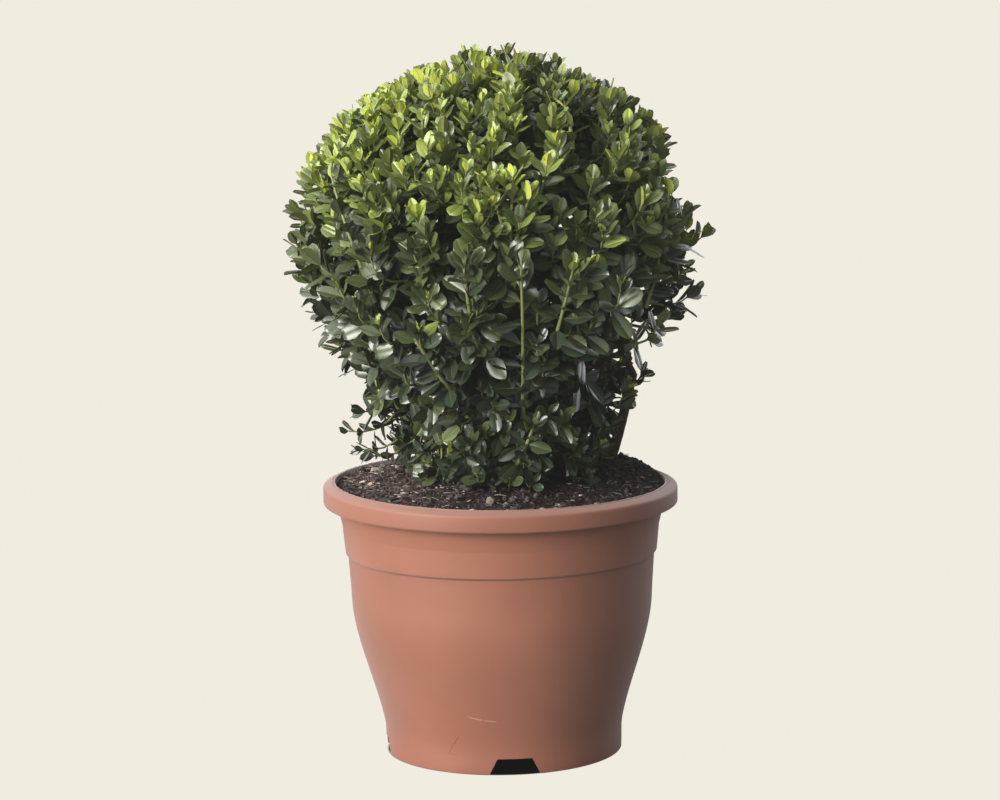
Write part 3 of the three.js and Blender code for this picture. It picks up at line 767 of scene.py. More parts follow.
class Litter:
    """What lies loose on the soil, each kind as a shape for piece_from_arrays."""

    def __init__(self, pot, soil):
        self.pot = pot
        self.soil = soil
        self.dice = np.random.default_rng(11)

    def on_soil(self, radius, azimuth):
        """Places on the soil's surface."""
        places = np.stack([radius * np.cos(azimuth), radius * np.sin(azimuth), np.zeros(len(radius))], axis=1)
        for place in places:
            place[2] = soil_height(self.pot, self.soil, place[0], place[1])
        return places

    def scatter(self, count, reach):
        """Places spread evenly over the soil, out to this radius."""
        radius = reach * np.sqrt(self.dice.random(count))
        return self.on_soil(radius, math.tau * self.dice.random(count))

    def lumps(self, places, sizes, slots, roughness=0.55):
        """Rough lumps around these places: low icospheres with their corners pushed about."""
        corners, faces = icosphere(1)
        count = len(places)
        rough = 1 + roughness * (self.dice.random((count, len(corners), 1)) - 0.5)
        stretch = 0.65 + 0.7 * self.dice.random((count, 1, 3))
        points = places[:, None] + corners[None] * rough * stretch * sizes[:, None, None]
        index = faces[None] + (np.arange(count) * len(corners))[:, None, None]
        return points.reshape(-1, 3), (index.reshape(-1, 3), np.repeat(slots, len(faces)))

    def dried(self, places, slots, share, tint):
        """The slots with this share of those on the side to the light changed to the tint, as painted light.
        """
        slots[(places[:, 0] < PAINTED_LIGHT_SIDE) & (self.dice.random(len(slots)) < share)] = tint
        return slots

    def crumbs(self):
        count = self.soil.crumbs
        places = self.scatter(count, 0.1195)
        sizes = (0.28 + 1.0 * self.dice.random(count) ** 3.5) * MM
        places[:, 2] += sizes * 0.45
        slots = self.dice.choice([DARK, BROWN, PALE, PEAT], count, p=[0.60, 0.25, 0.08, 0.07])
        return self.lumps(places, sizes, self.dried(places, slots, 0.35, PALE))

    def clods(self):
        count = self.soil.clods
        places = self.scatter(count, 0.114)
        sizes = (1.0 + 1.6 * self.dice.random(count) ** 2) * MM
        slots = self.dice.choice([DARK, BROWN, BROWN], count)
        return self.lumps(places + UP * sizes[:, None] * 0.25, sizes, slots)

    def pebbles(self):
        """Rounded pebbles, some of them in a loose row at the front."""
        count, elsewhere = self.soil.pebbles, 8
        front = np.radians(np.linspace(-105, -66, count - elsewhere))
        turns = np.concatenate([front, math.tau * self.dice.random(elsewhere)])
        turns += 0.06 * (self.dice.random(count) - 0.5)
        places = self.on_soil(lerp(0.082, 0.106, self.dice.random(count)), turns)
        sizes = (1.1 + 1.6 * self.dice.random(count)) * MM
        slots = self.dice.choice([PALE_PEBBLE, GREY_PEBBLE, DARK_PEBBLE], count, p=[0.30, 0.45, 0.25])
        return self.lumps(places + UP * sizes[:, None] * 0.35, sizes, slots, 0.35)

    def stones(self):
        """The larger stones and lumps, each with its own size."""
        corners, faces = icosphere(3)
        found = []
        for x, y, long_way, wide, high, slot in STONES:
            shift = Vector((x, y, 0)) * 900
            rough = np.array([noise.fractal(Vector(c * 1.5) + shift, 0.6, 2.0, 2) for c in corners])
            lump = corners * (1 + 0.45 * rough[:, None]) * np.array([long_way, wide, high]) * MM
            lump = lump @ np.array(Matrix.Rotation(0.8 * (self.dice.random() - 0.5), 3, "Y")).T
            place = np.array([x, y, soil_height(self.pot, self.soil, x, y) + 0.45 * high * MM])
            found.append((lump + place, (faces, np.full(len(faces), slot))))
        return found

    def chips(self):
        dice, count = self.dice, self.soil.chips
        corners = np.array([[x, y, z] for z in (0, 1) for y in (-1, 1) for x in (-1, 1)], float)
        faces = np.array([[0, 2, 3, 1], [4, 5, 7, 6], [0, 1, 5, 4], [1, 3, 7, 5], [3, 2, 6, 7], [2, 0, 4, 6]])
        points = []
        for place in self.scatter(count, 0.115):
            long_way, wide = (1.2 + 2.2 * dice.random()) * MM, (0.5 + 1.2 * dice.random()) * MM
            jitter = 1 + 0.5 * (dice.random((8, 3)) - 0.5)
            block = corners * jitter * np.array([long_way, wide, 0.5 * MM])
            turn = Matrix.Rotation(math.tau * dice.random(), 3, "Z")
            turn = turn @ Matrix.Rotation(0.9 * (dice.random() - 0.5), 3, "X")
            points.append(block @ np.array(turn).T + place + UP * 0.5 * MM)
        index = faces[None] + 8 * np.arange(count)[:, None, None]
        slots = dice.choice([STRAW, CHIP, PEAT], count, p=[0.4, 0.3, 0.3])
        return np.concatenate(points), (index.reshape(-1, 4), np.repeat(slots, len(faces)))

    def fibres(self):
        dice, count = self.dice, self.soil.fibres
        places = self.scatter(count, 0.117)
        paths, radii = [], []
        for place in places:
            heading = polar(math.tau * dice.random(), 1, 0.25 * (dice.random() - 0.3))
            run = (1.8 + 6.5 * dice.random() ** 2) * MM
            bow = polar(math.tau * dice.random(), 0.35 * run, 0.25 * run * dice.random())
            start = place + UP * 0.3 * MM
            paths.append(bezier(start, start + heading * run / 2 + bow, start + heading * run, 4))
            radii.append(np.full(5, (0.13 + 0.30 * dice.random() ** 2) * MM))
        points, faces = tubes(paths, radii, 3)
        slots = dice.choice([BROWN_FIBRE, BROWN, DARK, STRAW], count, p=[0.50, 0.22, 0.18, 0.10])
        return points, (faces, np.repeat(self.dried(places, slots, 0.50, STRAW), len(faces) // count))


def ground(pot, soil):
    """The soil's body, down to the pot's floor, with a fine grid of rings over its top."""
    floor = pot.floor + 2.8 * MM
    sides = [(wall_radius(pot, z) - pot.wall - 0.4 * MM, z) for z in np.linspace(floor, pot.belly_height, 8)]
    wall = [(pot.rim_mouth - 5.6 * MM, pot.rim_foot), (soil_reach(pot), pot.rim_foot + 5 * MM)]
    rings = [(r, soil.edge) for r in np.linspace(soil_reach(pot), 0, 96)]
    bm = spun([(0, floor), *sides, *wall, *rings], 300)
    for vert in bm.verts:
        if vert.co.z > soil.edge - 1e-5:
            vert.co.z = soil_height(pot, soil, vert.co.x, vert.co.y)
    return bm


class TOPIARY_OT_soil(bpy.types.Operator):
    """Builds the potting soil with loose crumbs, fibres, wood chips and pebbles on it"""

    bl_idname = "topiary.soil"
    bl_label = "Soil"

    def execute(self, context):
        pot, soil = context.scene.topiary_pot, context.scene.topiary_soil
        piece_from_bmesh("potting_soil", ground(pot, soil), [soil_material(soil)], ["soil"])
        loose = Litter(pot, soil)
        shapes = [loose.crumbs(), loose.clods(), loose.pebbles(), *loose.stones()]
        shapes += [loose.chips(), loose.fibres()]
        piece_from_arrays("soil_litter", shapes, litter_materials(soil), ["soil"])
        return {"FINISHED"}


# ------------------------------------------------------------------ the crown's form

# The trunk's route, from under the soil to the root of the top mass.
TRUNK = [(0, 0, 0.191), (0.001, -0.001, 0.233), (0.005, 0.003, 0.300), (-0.003, 0.002, 0.370), (0, 0, 0.430)]

# The stems' routes in millimetres: distance from the axis and height. The first stem stands apart from the
# others, and its own route starts each point with an azimuth in degrees.
STEM = [(24, 195), (26, 238), (46, 280)]
LONE_STEM = [(29, 92, 198), (20.7, 95.7, 232), (9.3, 100.8, 276)]

# Tiers of masses, as in the solids: name, how many, elevation of their directions, and first azimuth.
TIERS = [("lower", 6, -24, 15), ("upper", 5, 27, 45), ("top", 1, 90, 0)]


def crown_radius(crown, height):
    """Radius of the crown's form: full and rounded above where it is widest, drawn in to a foot below."""
    if height >= crown.widest:
        share = min(1, (height - crown.widest) / (crown.top - crown.widest))
        return crown.radius * (1 - share**crown.shoulder) ** (1 / crown.shoulder)
    foot = bpy.context.scene.topiary_soil.level
    share = min(1, (crown.widest - height) / (crown.widest - foot))
    return lerp(crown.foot_radius, crown.radius, (1 + math.cos(math.pi * share)) / 2)


def even_heights(crown, count, low, skirt, crest=1):
    """Heights that share the crown's surface out evenly, but for these weights at its skirt and its crest."""
    bands = np.linspace(low, crown.top - 1 * MM, 301)
    radii = np.array([crown_radius(crown, z) for z in bands])
    area = (radii[1:] + radii[:-1]) / 2 * np.hypot(np.diff(bands), np.diff(radii))
    weight = [
        lerp(skirt, 1, smoothstep(z, 0.230, 0.330)) * lerp(1, crest, smoothstep(z, 0.38, 0.46))
        for z in bands[1:]
    ]
    total = np.concatenate(([0], np.cumsum(area * weight)))
    return np.interp((np.arange(count) + 0.5) / count * total[-1], total, bands)


class Mass:
    """One foliage mass: its space's direction, its limb's path, its root at the limb's tip, and its crest.

    The top mass has no limb of its own, and stands on the trunk's tip.
    """

    def __init__(self, tier, number, azimuth, elevation, trunk):
        self.tier = tier
        self.number = number
        self.name = f"{tier}_{number}"
        self.direction = polar(azimuth, math.cos(elevation), math.sin(elevation))
        if tier == "top":
            self.name = tier
            self.path = None
            self.root, self.crest = trunk[-1], trunk[-1] + UP * 43 * MM
        elif tier == "upper":
            start = trunk[round((0.2 + 0.06 * number) * (len(trunk) - 1))]
            knee = start + polar(azimuth, 0.022, 0.026)
            self.root, self.crest = polar(azimuth, 0.066, 0.372), polar(azimuth, 0.093, 0.404)
            self.path = catmull([start, knee, polar(azimuth, 0.047, 0.346), self.root], 40)
        else:
            route = [(azimuth, r, z) for r, z in STEM]
            if number == 1:
                route = [(math.radians(turn), r, z) for turn, r, z in LONE_STEM]
            self.path = catmull([polar(turn, r * MM, z * MM) for turn, r, z in route], 30)
            self.root, self.crest = self.path[-1], polar(azimuth, 0.084, 0.314)


def crown_masses(trunk):
    """The masses with their limbs' paths, as the solids have them."""
    masses = []
    for row, (tier, count, elevation, azimuth) in enumerate(TIERS):
        loose = 1 if count > 1 else 0
        for i in range(count):
            dice = seeded(100 * row + i + 1)
            turn = azimuth + 360 * i / count + loose * lerp(-7, 7, dice())
            rise = elevation + loose * lerp(-4, 4, dice())
            masses.append(Mass(tier, i + 1, math.radians(turn), math.radians(rise), trunk))
    return masses


# ------------------------------------------------------------------ limbs

# The limbs of each tier: their kind, and their radius in millimetres at the foot and at the tip.
LIMBS = {"upper": ("bough", 4.6, 3.2), "lower": ("stem", 4.4, 3.1)}


def limb_bmesh(path, radius_at, sides, relief):
    """A limb made by extruding a round end along its path, with bark relief."""
    bm = bmesh.new()
    bmesh.ops.create_circle(bm, cap_ends=True, segments=sides, radius=1)
    ring = list(bm.verts)
    turns = [math.atan2(v.co.y, v.co.x) for v in ring]
    end_face = bm.faces[:][0]
    side = across(path[1] - path[0])
    last = len(path) - 1
    for i, point in enumerate(path):
        along = unit(path[min(i + 1, last)] - path[max(i - 1, 0)])
        side = unit(side - along * np.dot(side, along))
        other = np.cross(along, side)
        if i:
            out = bmesh.ops.extrude_face_region(bm, geom=[end_face])["geom"]
            old = end_face
            end_face = next(g for g in out if isinstance(g, bmesh.types.BMFace))
            ring = list(end_face.verts)
            if i > 1:
                bm.faces.remove(old)
        for vert, turn in zip(ring, turns):
            arm = side * math.cos(turn) + other * math.sin(turn)
            radius = radius_at(i / last, turn)
            spot = point + arm * radius
            rough = noise.fractal(Vector((*(spot[:2] * 420), spot[2] * 110)), 0.9, 2.0, 3)
            vert.co = point + arm * (radius + relief * rough)
    bmesh.ops.recalc_face_normals(bm, faces=bm.faces)
    return bm


def trunk_radius(share, turn):
    """The trunk tapers from a root flare in five lobes."""
    flare = 5 * max(0, 1 - share * 6) ** 2 * (1 + 0.25 * math.cos(5 * turn))
    return (lerp(10.5, 4, share**0.8) + flare) * MM


def bark_material(crown):
    base = np.array(crown.bark)
    material, tree, shader = new_material("old_bark", base, 0.85, Specular_IOR_Level=0.3)
    mottle = add_mottle(tree, base * 0.45, base * 1.25, 120, 0.5, 0.16)
    tree.links.new(mottle["Color"], shader.inputs["Base Color"])
    add_bump(tree, shader, mottle["Height"], 0.7, 0.8 * MM)
    return material


class TOPIARY_OT_limbs(bpy.types.Operator):
    """Builds the trunk with its root flare, the boughs and the stems, with bark relief"""

    bl_idname = "topiary.limbs"
    bl_label = "Trunk, boughs and stems"

    def execute(self, context):
        bark = bark_material(context.scene.topiary_crown)
        trunk = catmull(TRUNK, 100)
        bm = limb_bmesh(trunk, trunk_radius, 28, 0.7 * MM)
        piece_from_bmesh("old_trunk", bm, [bark], ["trunk"])
        for mass in crown_masses(trunk):
            if mass.tier not in LIMBS:
                continue
            kind, foot, tip = LIMBS[mass.tier]
            bm = limb_bmesh(mass.path, lambda share, _, a=foot, b=tip: lerp(a, b, share) * MM, 14, 0.35 * MM)
            name = f"{kind}_{mass.number}"
            piece_from_bmesh(f"woody_{name}", bm, [bark], [name])
        return {"FINISHED"}


# ------------------------------------------------------------------ leaves

# Where a leaf has points: along it as shares of its length, and across each half as shares of its width.
LEAF_STATIONS = [0.10, 0.30, 0.55, 0.79, 0.94]
HALF_COLUMNS = [0.03, 0.52, 1.0]


def leaf_half_width(u, blunt):
    """Drawn in to the stalk and widest past the middle, with a tip that is rounder the more blunt it is."""
    middle = lerp(0.46, 0.57, blunt)
    if u < middle:
        return math.sin(math.pi / 2 * u / middle) ** 1.12
    beyond = (u - middle) / (1 - middle)
    return (1 - beyond ** lerp(1.6, 2.4, blunt)) ** lerp(0.80, 0.50, blunt)


def leaf_template(fold, cup, droop, twist, blunt):
    """A leaf of unit length and unit half width: x across, y along, z up.

    The halves rise from the midrib by fold and roll down again to the margins by cup, the blade bends down
    to its tip by droop, and its two halves turn apart by twist. The midrib is a narrow strip of its own.
    Returns the points, then the quads and the triangles, each with how many come before the midrib's.
    """
    points, quads, triangles = [], [], []

    def height(x, u):
        return fold * abs(x) - cup * abs(x) ** 2.2 - 3.5 * droop * u * u + twist * x * (u - 0.3)

    tip = (0.0, 1.0 - 0.3 * droop, -3.5 * droop)
    for side in (-1, 1):
        columns, first = len(HALF_COLUMNS), len(points)
        for u in LEAF_STATIONS:
            for v in HALF_COLUMNS:
                x = side * v * leaf_half_width(u, blunt)
                points.append((x, u, height(x, u)))
        points += [(0.0, 0.0, 0.0), tip]
        last = first + (len(LEAF_STATIONS) - 1) * columns
        for i in range(columns - 1):
            stalk = (first + i, len(points) - 2, first + i + 1)
            end = (last + i + 1, len(points) - 1, last + i)
            triangles += [stalk[::side], end[::side]]
            for r in range(len(LEAF_STATIONS) - 1):
                a = first + r * columns + i
                quads.append((a, a + 1, a + 1 + columns, a + columns)[::side])
    blade_quads, blade_triangles, first = len(quads), len(triangles), len(points)
    for u in LEAF_STATIONS[:-1]:
        for side in (-1, 1):
            x = side * 0.046 * (1.25 - u)
            points.append((x, u, height(x, u) + 0.035))
    points += [(0.0, 0.0, 0.02), (0.0, 0.92, height(0, 0.92) + 0.01)]
    for r in range(len(LEAF_STATIONS) - 2):
        a = first + 2 * r
        quads.append((a, a + 1, a + 3, a + 2))
    triangles += [(len(points) - 2, first + 1, first), (len(points) - 4, len(points) - 3, len(points) - 1)]
    return np.array(points), (np.array(quads), blade_quads), (np.array(triangles), blade_triangles)


# Leaves by their fold, cup, droop, twist and bluntness. The narrow one is a bud's.
TEMPLATES = [
    leaf_template(0.58, 0.42, 0.06, 0.0, 0.85),
    leaf_template(0.80, 0.44, 0.03, 0.20, 0.55),
    leaf_template(0.42, 0.46, 0.14, -0.20, 0.75),
    leaf_template(0.36, 0.30, -0.04, 0.15, 0.35),
    leaf_template(0.95, 0.55, 0.10, -0.12, 0.10),
    leaf_template(0.50, 0.56, 0.20, 0.28, 0.95),
]
NARROW = 4


class LeafBag:
    """Leaves gathered one by one, to be made into one joined piece."""

    def __init__(self):
        self.rows = []

    def add(self, root, axis, up, size, wide, tint, template):
        self.rows.append((*root, *axis, *up, size, wide, tint, template))

    def shapes(self):
        """The leaves as shapes for piece_from_arrays, one for each template in use."""
        rows = np.array(self.rows)
        found = []
        for index, (points, *parts) in enumerate(TEMPLATES):
            own = rows[rows[:, 12] == index]
            if not len(own):
                continue
            root, axis, up = own[:, 0:3], own[:, 3:6], own[:, 6:9]
            size, wide, tint = own[:, 9], own[:, 10], own[:, 11].astype(int)
            side = np.cross(axis, up)
            side /= np.linalg.norm(side, axis=1, keepdims=True)
            face = np.cross(side, axis)
            verts = (
                root[:, None]
                + side[:, None] * (points[:, 0] * (wide / 2)[:, None])[:, :, None]
                + axis[:, None] * (points[:, 1] * size[:, None])[:, :, None]
                + face[:, None] * (points[:, 2] * (wide / 2)[:, None])[:, :, None]
            )
            shift = (np.arange(len(own)) * len(points))[:, None, None]
            rib = np.where(tint < FIRST_PALE_RIB, RIB_DARK, RIB_PALE)
            shape = [verts.reshape(-1, 3)]
            for faces, blades in parts:
                slots = np.where(np.arange(len(faces)) < blades, tint[:, None], rib[:, None])
                shape.append(((faces[None] + shift).reshape(-1, faces.shape[1]), slots.ravel()))
            found.append(shape)
        return found


# Tints from the oldest leaves to the youngest, as shares of the way from deep to fresh to young green, and
# how rough each is. The darkest, leaf_ink, is partly painted shade for the shaded leaves inside the crown.
TINTS = [
    ("leaf_ink", -0.45, 0.33),
    ("leaf_deep", -0.15, 0.30),
    ("leaf_blue", 0.0, 0.30),
    ("leaf_bottle", 0.14, 0.32),
    ("leaf_mid", 0.30, 0.33),
    ("leaf_olive", 0.52, 0.36),
    ("leaf_grass", 0.78, 0.40),
    ("leaf_fresh", 1.05, 0.42),
    ("leaf_lime", 1.45, 0.45),
    ("leaf_bud", 1.95, 0.50),
]

# The brightest tint of a grown leaf, and the tint of a bud's. From the first pale rib's tint on, leaves have
# a pale midrib instead of a dark one.
LIME, BUD = 8, 9
FIRST_PALE_RIB = 5
RIB_DARK, RIB_PALE = len(TINTS), len(TINTS) + 1


def tint_colour(crown, share):
    deep, fresh, young = (np.array(c) for c in (crown.deep, crown.fresh, crown.young))
    if share < 0:
        return deep * (1 + share)
    if share < 1:
        return deep * (fresh / deep) ** share
    return lerp(fresh, young, share - 1)


def leaf_materials(crown):
    """A waxy material for each tint, then the dark and the pale midrib's."""
    made = []
    for name, share, roughness in TINTS:
        base = tint_colour(crown, share)
        if name == "leaf_blue":
            base = base * np.array([0.9, 1.0, 1.35])
        material, tree, shader = new_material(
            name, base, roughness, Specular_IOR_Level=0.5, Coat_Weight=0.50, Coat_Roughness=0.33
        )
        # The underside is paler, yellower and duller than the waxy upper side.
        back = node(tree, "ShaderNodeNewGeometry").outputs["Backfacing"]
        under = np.minimum(1, base * np.array([1.9, 1.7, 1.5]) + 0.008)
        tree.links.new(mix_colours(tree, back, base, under), shader.inputs["Base Color"])
        tree.links.new(ramp(tree, back, 0.0, 1.0, roughness, 0.6), shader.inputs["Roughness"])
        made.append(material)
    ribs = [("rib_dark", (0.098, 0.118, 0.052), 0.45), ("rib_pale", (0.235, 0.290, 0.070), 0.5)]
    return made + plain_materials(ribs)


# ------------------------------------------------------------------ shoots

# The youngest pairs of leaves on a shoot, from its tip down: length as a share of a grown leaf's, angle from
# the stem in degrees, and the gap to the next pair as a share of a grown one.
YOUNG_PAIRS = [(0.60, 24, 0.5), (0.84, 36, 0.8), (0.95, 48, 0.95)]

# Shoots that run up the outside of the crown in full view: azimuth in degrees at foot and tip, heights of the
# two, how proud of the crown they stand, and how young they are.
LEADERS = [
    (-77, -84, 0.246, 0.382, 0.009, 0.35),
    (-132, -147, 0.345, 0.440, 0.009, 0.40),
    (-72, -69, 0.285, 0.377, 0.002, 0.55),
    (-80, -75, 0.222, 0.262, 0.003, 0.30),
    (-98, -99, 0.322, 0.380, 0.001, 0.35),
    (-109, -116, 0.275, 0.330, 0.002, 0.30),
    (-32, -29, 0.335, 0.425, 0.002, 0.85),
    (-86, -93, 0.385, 0.437, 0.003, 1.00),
    (-86, -85, 0.385, 0.440, 0.004, 1.00),
    (-85, -80, 0.385, 0.428, 0.003, 0.95),
    (-80, -78, 0.470, 0.503, 0.000, 1.00),
    (-60, -56, 0.450, 0.488, 0.001, 1.00),
    (34, 29, 0.290, 0.400, 0.000, 0.35),
    (72, 78, 0.250, 0.350, 0.001, 0.35),
    (110, 104, 0.300, 0.410, 0.000, 0.50),
    (142, 150, 0.260, 0.362, 0.001, 0.35),
    (176, 182, 0.290, 0.384, 0.000, 0.35),
]

# Tips of the shoots that stand highest on the clipped crest.
CREST_TIPS = [
    (-0.0215, -0.005, 0.5160),
    (0.0100, 0.004, 0.5180),
    (0.0245, -0.002, 0.5130),
    (-0.0530, 0.006, 0.5040),
    (0.0870, -0.010, 0.5020),
    (-0.0080, 0.040, 0.5110),
]

# Shoots low on the crown that end in a bright tuft: azimuth in degrees and height.
TUFTS = [
    (-126, 0.388),
    (-132, 0.350),
    (-126, 0.335),
    (-113, 0.332),
    (-64, 0.378),
    (-55, 0.360),
    (60, 0.350),
    (118, 0.342),
    (165, 0.365),
]

# Stray shoots past the clipped form, as in the solids: azimuth in degrees, height and reach of the tip.
STRAYS = [
    (3, 0.384, 0.157),
    (-4, 0.343, 0.147),
    (184, 0.406, 0.149),
    (183, 0.332, 0.136),
    (187, 0.257, 0.108),
    (186, 0.242, 0.116),
    (192, 0.230, 0.109),
    (181, 0.222, 0.101),
    (97, 0.398, 0.156),
    (262, 0.386, 0.154),
]

# Dark hollows between the shoots: azimuth in degrees and height of the middle, half width and half height.
HOLLOWS = [
    (-106, 0.388, 0.011, 0.048),
    (-73, 0.474, 0.013, 0.014),
    (-84, 0.456, 0.007, 0.016),
    (-76, 0.428, 0.009, 0.026),
    (-81, 0.396, 0.010, 0.010),
    (-52, 0.428, 0.011, 0.036),
    (-45, 0.308, 0.027, 0.052),
    (-101, 0.300, 0.011, 0.018),
    (-64, 0.292, 0.016, 0.026),
    (-89, 0.322, 0.011, 0.013),
    (-79, 0.285, 0.011, 0.034),
    (-82, 0.345, 0.009, 0.034),
    (-139, 0.395, 0.014, 0.048),
    (30, 0.350, 0.012, 0.036),
    (66, 0.420, 0.014, 0.022),
    (128, 0.370, 0.011, 0.034),
    (160, 0.300, 0.010, 0.020),
]

# Where the clipped form stands proud or falls short: azimuth in degrees, height, half height and how far out.
BULGES = [
    (180, 0.436, 0.030, 0.003),
    (0, 0.476, 0.028, 0.006),
    (0, 0.333, 0.020, 0.003),
    (0, 0.368, 0.020, -0.010),
    (0, 0.290, 0.020, 0.005),
    (180, 0.472, 0.020, 0.006),
    (180, 0.385, 0.036, -0.006),
    (180, 0.330, 0.028, -0.010),
    (180, 0.288, 0.024, -0.014),
    (180, 0.494, 0.022, 0.010),
    (120, 0.330, 0.050, -0.004),
    (-60, 0.250, 0.030, 0.004),
]


class Grower:
    """Grows the branches, shoots and leaves of the crown, and keeps them mass by mass."""

    def __init__(self, crown):
        self.crown = crown
        self.soil = bpy.context.scene.topiary_soil.level
        self.heart = UP * crown.heart
        self.masses = crown_masses(catmull(TRUNK, 100))
        self.directions = np.array([mass.direction for mass in self.masses])
        self.dice = np.random.default_rng(2024)
        self.leaves = {mass.name: LeafBag() for mass in self.masses}
        self.buds = {mass.name: LeafBag() for mass in self.masses}
        self.old_wood = {mass.name: [] for mass in self.masses}
        self.young_wood = {mass.name: [] for mass in self.masses}
        self.branches = []
        self.targets = []

    def mass_at(self, point):
        return self.masses[int(np.argmax(self.directions @ (point - self.heart)))]

    def nearest(self, tip):
        """The mass and the path of the branch that ends under the nearest spot to this tip."""
        return self.branches[int(np.argmin(np.linalg.norm(np.array(self.targets) - tip, axis=1)))]

    def spot(self, azimuth, height, depth=0.0):
        return polar(azimuth, crown_radius(self.crown, height) - depth, height)

    def heading(self, point):
        """Shoots fan out from far below the soil like a vase, and turn up towards the light."""
        fan = unit(point - UP * (self.soil - 0.110))
        lift = lerp(-0.05, 0.45, smoothstep(point[2], 0.225, 0.300))
        sway = (self.dice.random(3) - 0.5) * 0.60
        return unit(fan + UP * lift + sway)

    def grow_branches(self):
        """Branches by the solids' rule, from each mass's own stem to under its spots on the crown."""
        heights = even_heights(self.crown, self.crown.branches, self.soil + 8 * MM, skirt=1.6)
        for i, height in enumerate(heights):
            target = self.spot((i * GOLDEN_ANGLE) % math.tau, height)
            mass = self.mass_at(target)
            end = target + (self.heart - target) * (0.052 / np.linalg.norm(target - self.heart))
            share = min(1.0, max(0.1, (end[2] - mass.root[2]) / (mass.crest[2] - mass.root[2] + 1e-6)))
            start = lerp(mass.root, mass.crest, share * 0.8)
            middle = lerp(start, end, 0.5) - UP * 6 * MM + (self.dice.random(3) - 0.5) * 8 * MM
            path = bezier(start, middle, end, 8)
            self.branches.append((mass, path))
            self.targets.append(target)
            self.old_wood[mass.name].append((path, np.linspace(1.9, 1.25, 9) * MM))
        for mass in self.masses:
            path = bezier(mass.root, lerp(mass.root, mass.crest, 0.5), mass.crest, 8)
            self.old_wood[mass.name].append((path, np.linspace(3.0, 1.8, 9) * MM))

    def clump(self, azimuth, height):
        """Below 0 in the crown's clumps and above 0 in the hollows between them."""
        return noise.noise(Vector(self.spot(azimuth, height) * (27, 27, 20)))

    def hollow(self, azimuth, height):
        """1 in the middle of a hollow and 0 away from them all."""
        found = 0.85 * smoothstep(self.clump(azimuth, height), 0.12, 0.34)
        radius = crown_radius(self.crown, height)
        for turn, middle, half_width, half_height in HOLLOWS:
            wide = radius * math.remainder(azimuth - math.radians(turn), math.tau) / half_width
            found = max(found, 1 - smoothstep(math.hypot(wide, (height - middle) / half_height), 0.7, 1.15))
        return found

    def depth(self, azimuth, height):
        """How far under the crown's form a shoot ends: clumps stand proud, with hollows between them."""
        waist = 9 * MM * (1 - smoothstep(height, 0.330, 0.430))
        uneven = 9 * MM * self.dice.random() ** 1.6 - 1 * MM
        bulge = 0
        for turn, middle, half, out in BULGES:
            facing = max(0, math.cos(azimuth - math.radians(turn)))
            bulge += out * facing * (1 - smoothstep(abs(height - middle), 0, half))
        dip = self.clump(azimuth, height) * 12 * MM + 20 * MM * self.hollow(azimuth, height)
        return max(-2 * MM, dip + waist + uneven) - bulge

    def grow(self):
        self.grow_branches()
        self.outer_shoots()
        self.inner_shoots()
        self.leaders()
        self.crest_shoots()
        self.tufts()
        self.strays()

    def outer_shoots(self):
        """The shoots that make the crown's surface: ragged, and standing up in the middle of its top."""
        crown, dice = self.crown, self.dice
        heights = even_heights(crown, crown.shoots, self.soil + 6 * MM, skirt=1.5, crest=2.0)
        for i, height in enumerate(heights):
            azimuth = (i * GOLDEN_ANGLE + 0.35 * (dice.random() - 0.5)) % math.tau
            height = max(self.skirt(azimuth), height + (dice.random() - 0.5) * 8 * MM)
            height = min(crown.top - 2 * MM, height)
            tip = self.spot(azimuth, height, self.depth(azimuth, height))
            if self.bare(tip) or dice.random() < self.thinness(azimuth, height):
                continue
            mass, branch = self.nearest(tip)
            ragged = lerp(0.35, 1.0, smoothstep(height, 0.42, 0.49))
            tip += unit(tip - self.heart) * (13 * dice.random() ** 7 - 6 * dice.random()) * MM * ragged
            middle = 1 - smoothstep(math.hypot(tip[0], tip[1]), 0.020, 0.060)
            tip += UP * middle * smoothstep(height, 0.49, 0.50) * (1 + 6 * dice.random() ** 3) * MM
            start = branch[3 + dice.integers(0, 6)]
            self.shoot(mass, start, tip, self.heading(tip), self.vigour(azimuth, height))

    def inner_shoots(self):
        """Shaded shoots that fill the crown's inside."""
        crown, dice = self.crown, self.dice
        heights = even_heights(crown, crown.inner, self.soil + 12 * MM, skirt=1.4)
        for i, height in enumerate(heights):
            azimuth = (i * GOLDEN_ANGLE + 1.1) % math.tau
            tip = self.spot(azimuth, height, (26 + 22 * dice.random()) * MM)
            mass, branch = self.nearest(tip)
            if dice.random() < self.thinness(azimuth, height) * (1 - self.hollow(azimuth, height)) * 1.9:
                continue
            self.shoot(mass, branch[2], tip, self.heading(tip), 0.0, reach=0.040, shaded=True)

    def leaders(self):
        for foot_turn, tip_turn, foot, top, proud, vigour in LEADERS:
            start = self.spot(math.radians(foot_turn), foot, 16 * MM)
            tip = self.spot(math.radians(tip_turn), top, -proud)
            heading = unit(tip - self.spot(math.radians(foot_turn), foot, 4 * MM))
            mass = self.nearest(lerp(start, tip, 0.4))[0]
            self.shoot(mass, start, tip, heading, vigour, thick=1.5, reach=0.9)

    def crest_shoots(self):
        for tip in np.array(CREST_TIPS):
            mass, branch = self.nearest(tip)
            self.shoot(mass, branch[6], tip, unit(UP * 2.2 + (tip - self.heart) * 5), 0.45)

    def tufts(self):
        for turn, height in TUFTS:
            tip = self.spot(math.radians(turn), height, -2 * MM)
            mass, branch = self.nearest(tip)
            heading = self.heading(tip)
            self.shoot(mass, branch[6], tip, heading, 0.15)
            self.bud(mass, tip - heading * 5 * MM, heading, vigour=1.0, low=0.0, sure=True)

    def strays(self):
        for turn, height, reach in STRAYS:
            tip = polar(math.radians(turn), reach, height)
            mass, branch = self.nearest(tip)
            out = polar(math.radians(turn), 1, 0.25 if height < 0.3 else 1.0)
            self.shoot(mass, branch[4], tip, unit(out), 0.15, size=0.85, thick=0.8)

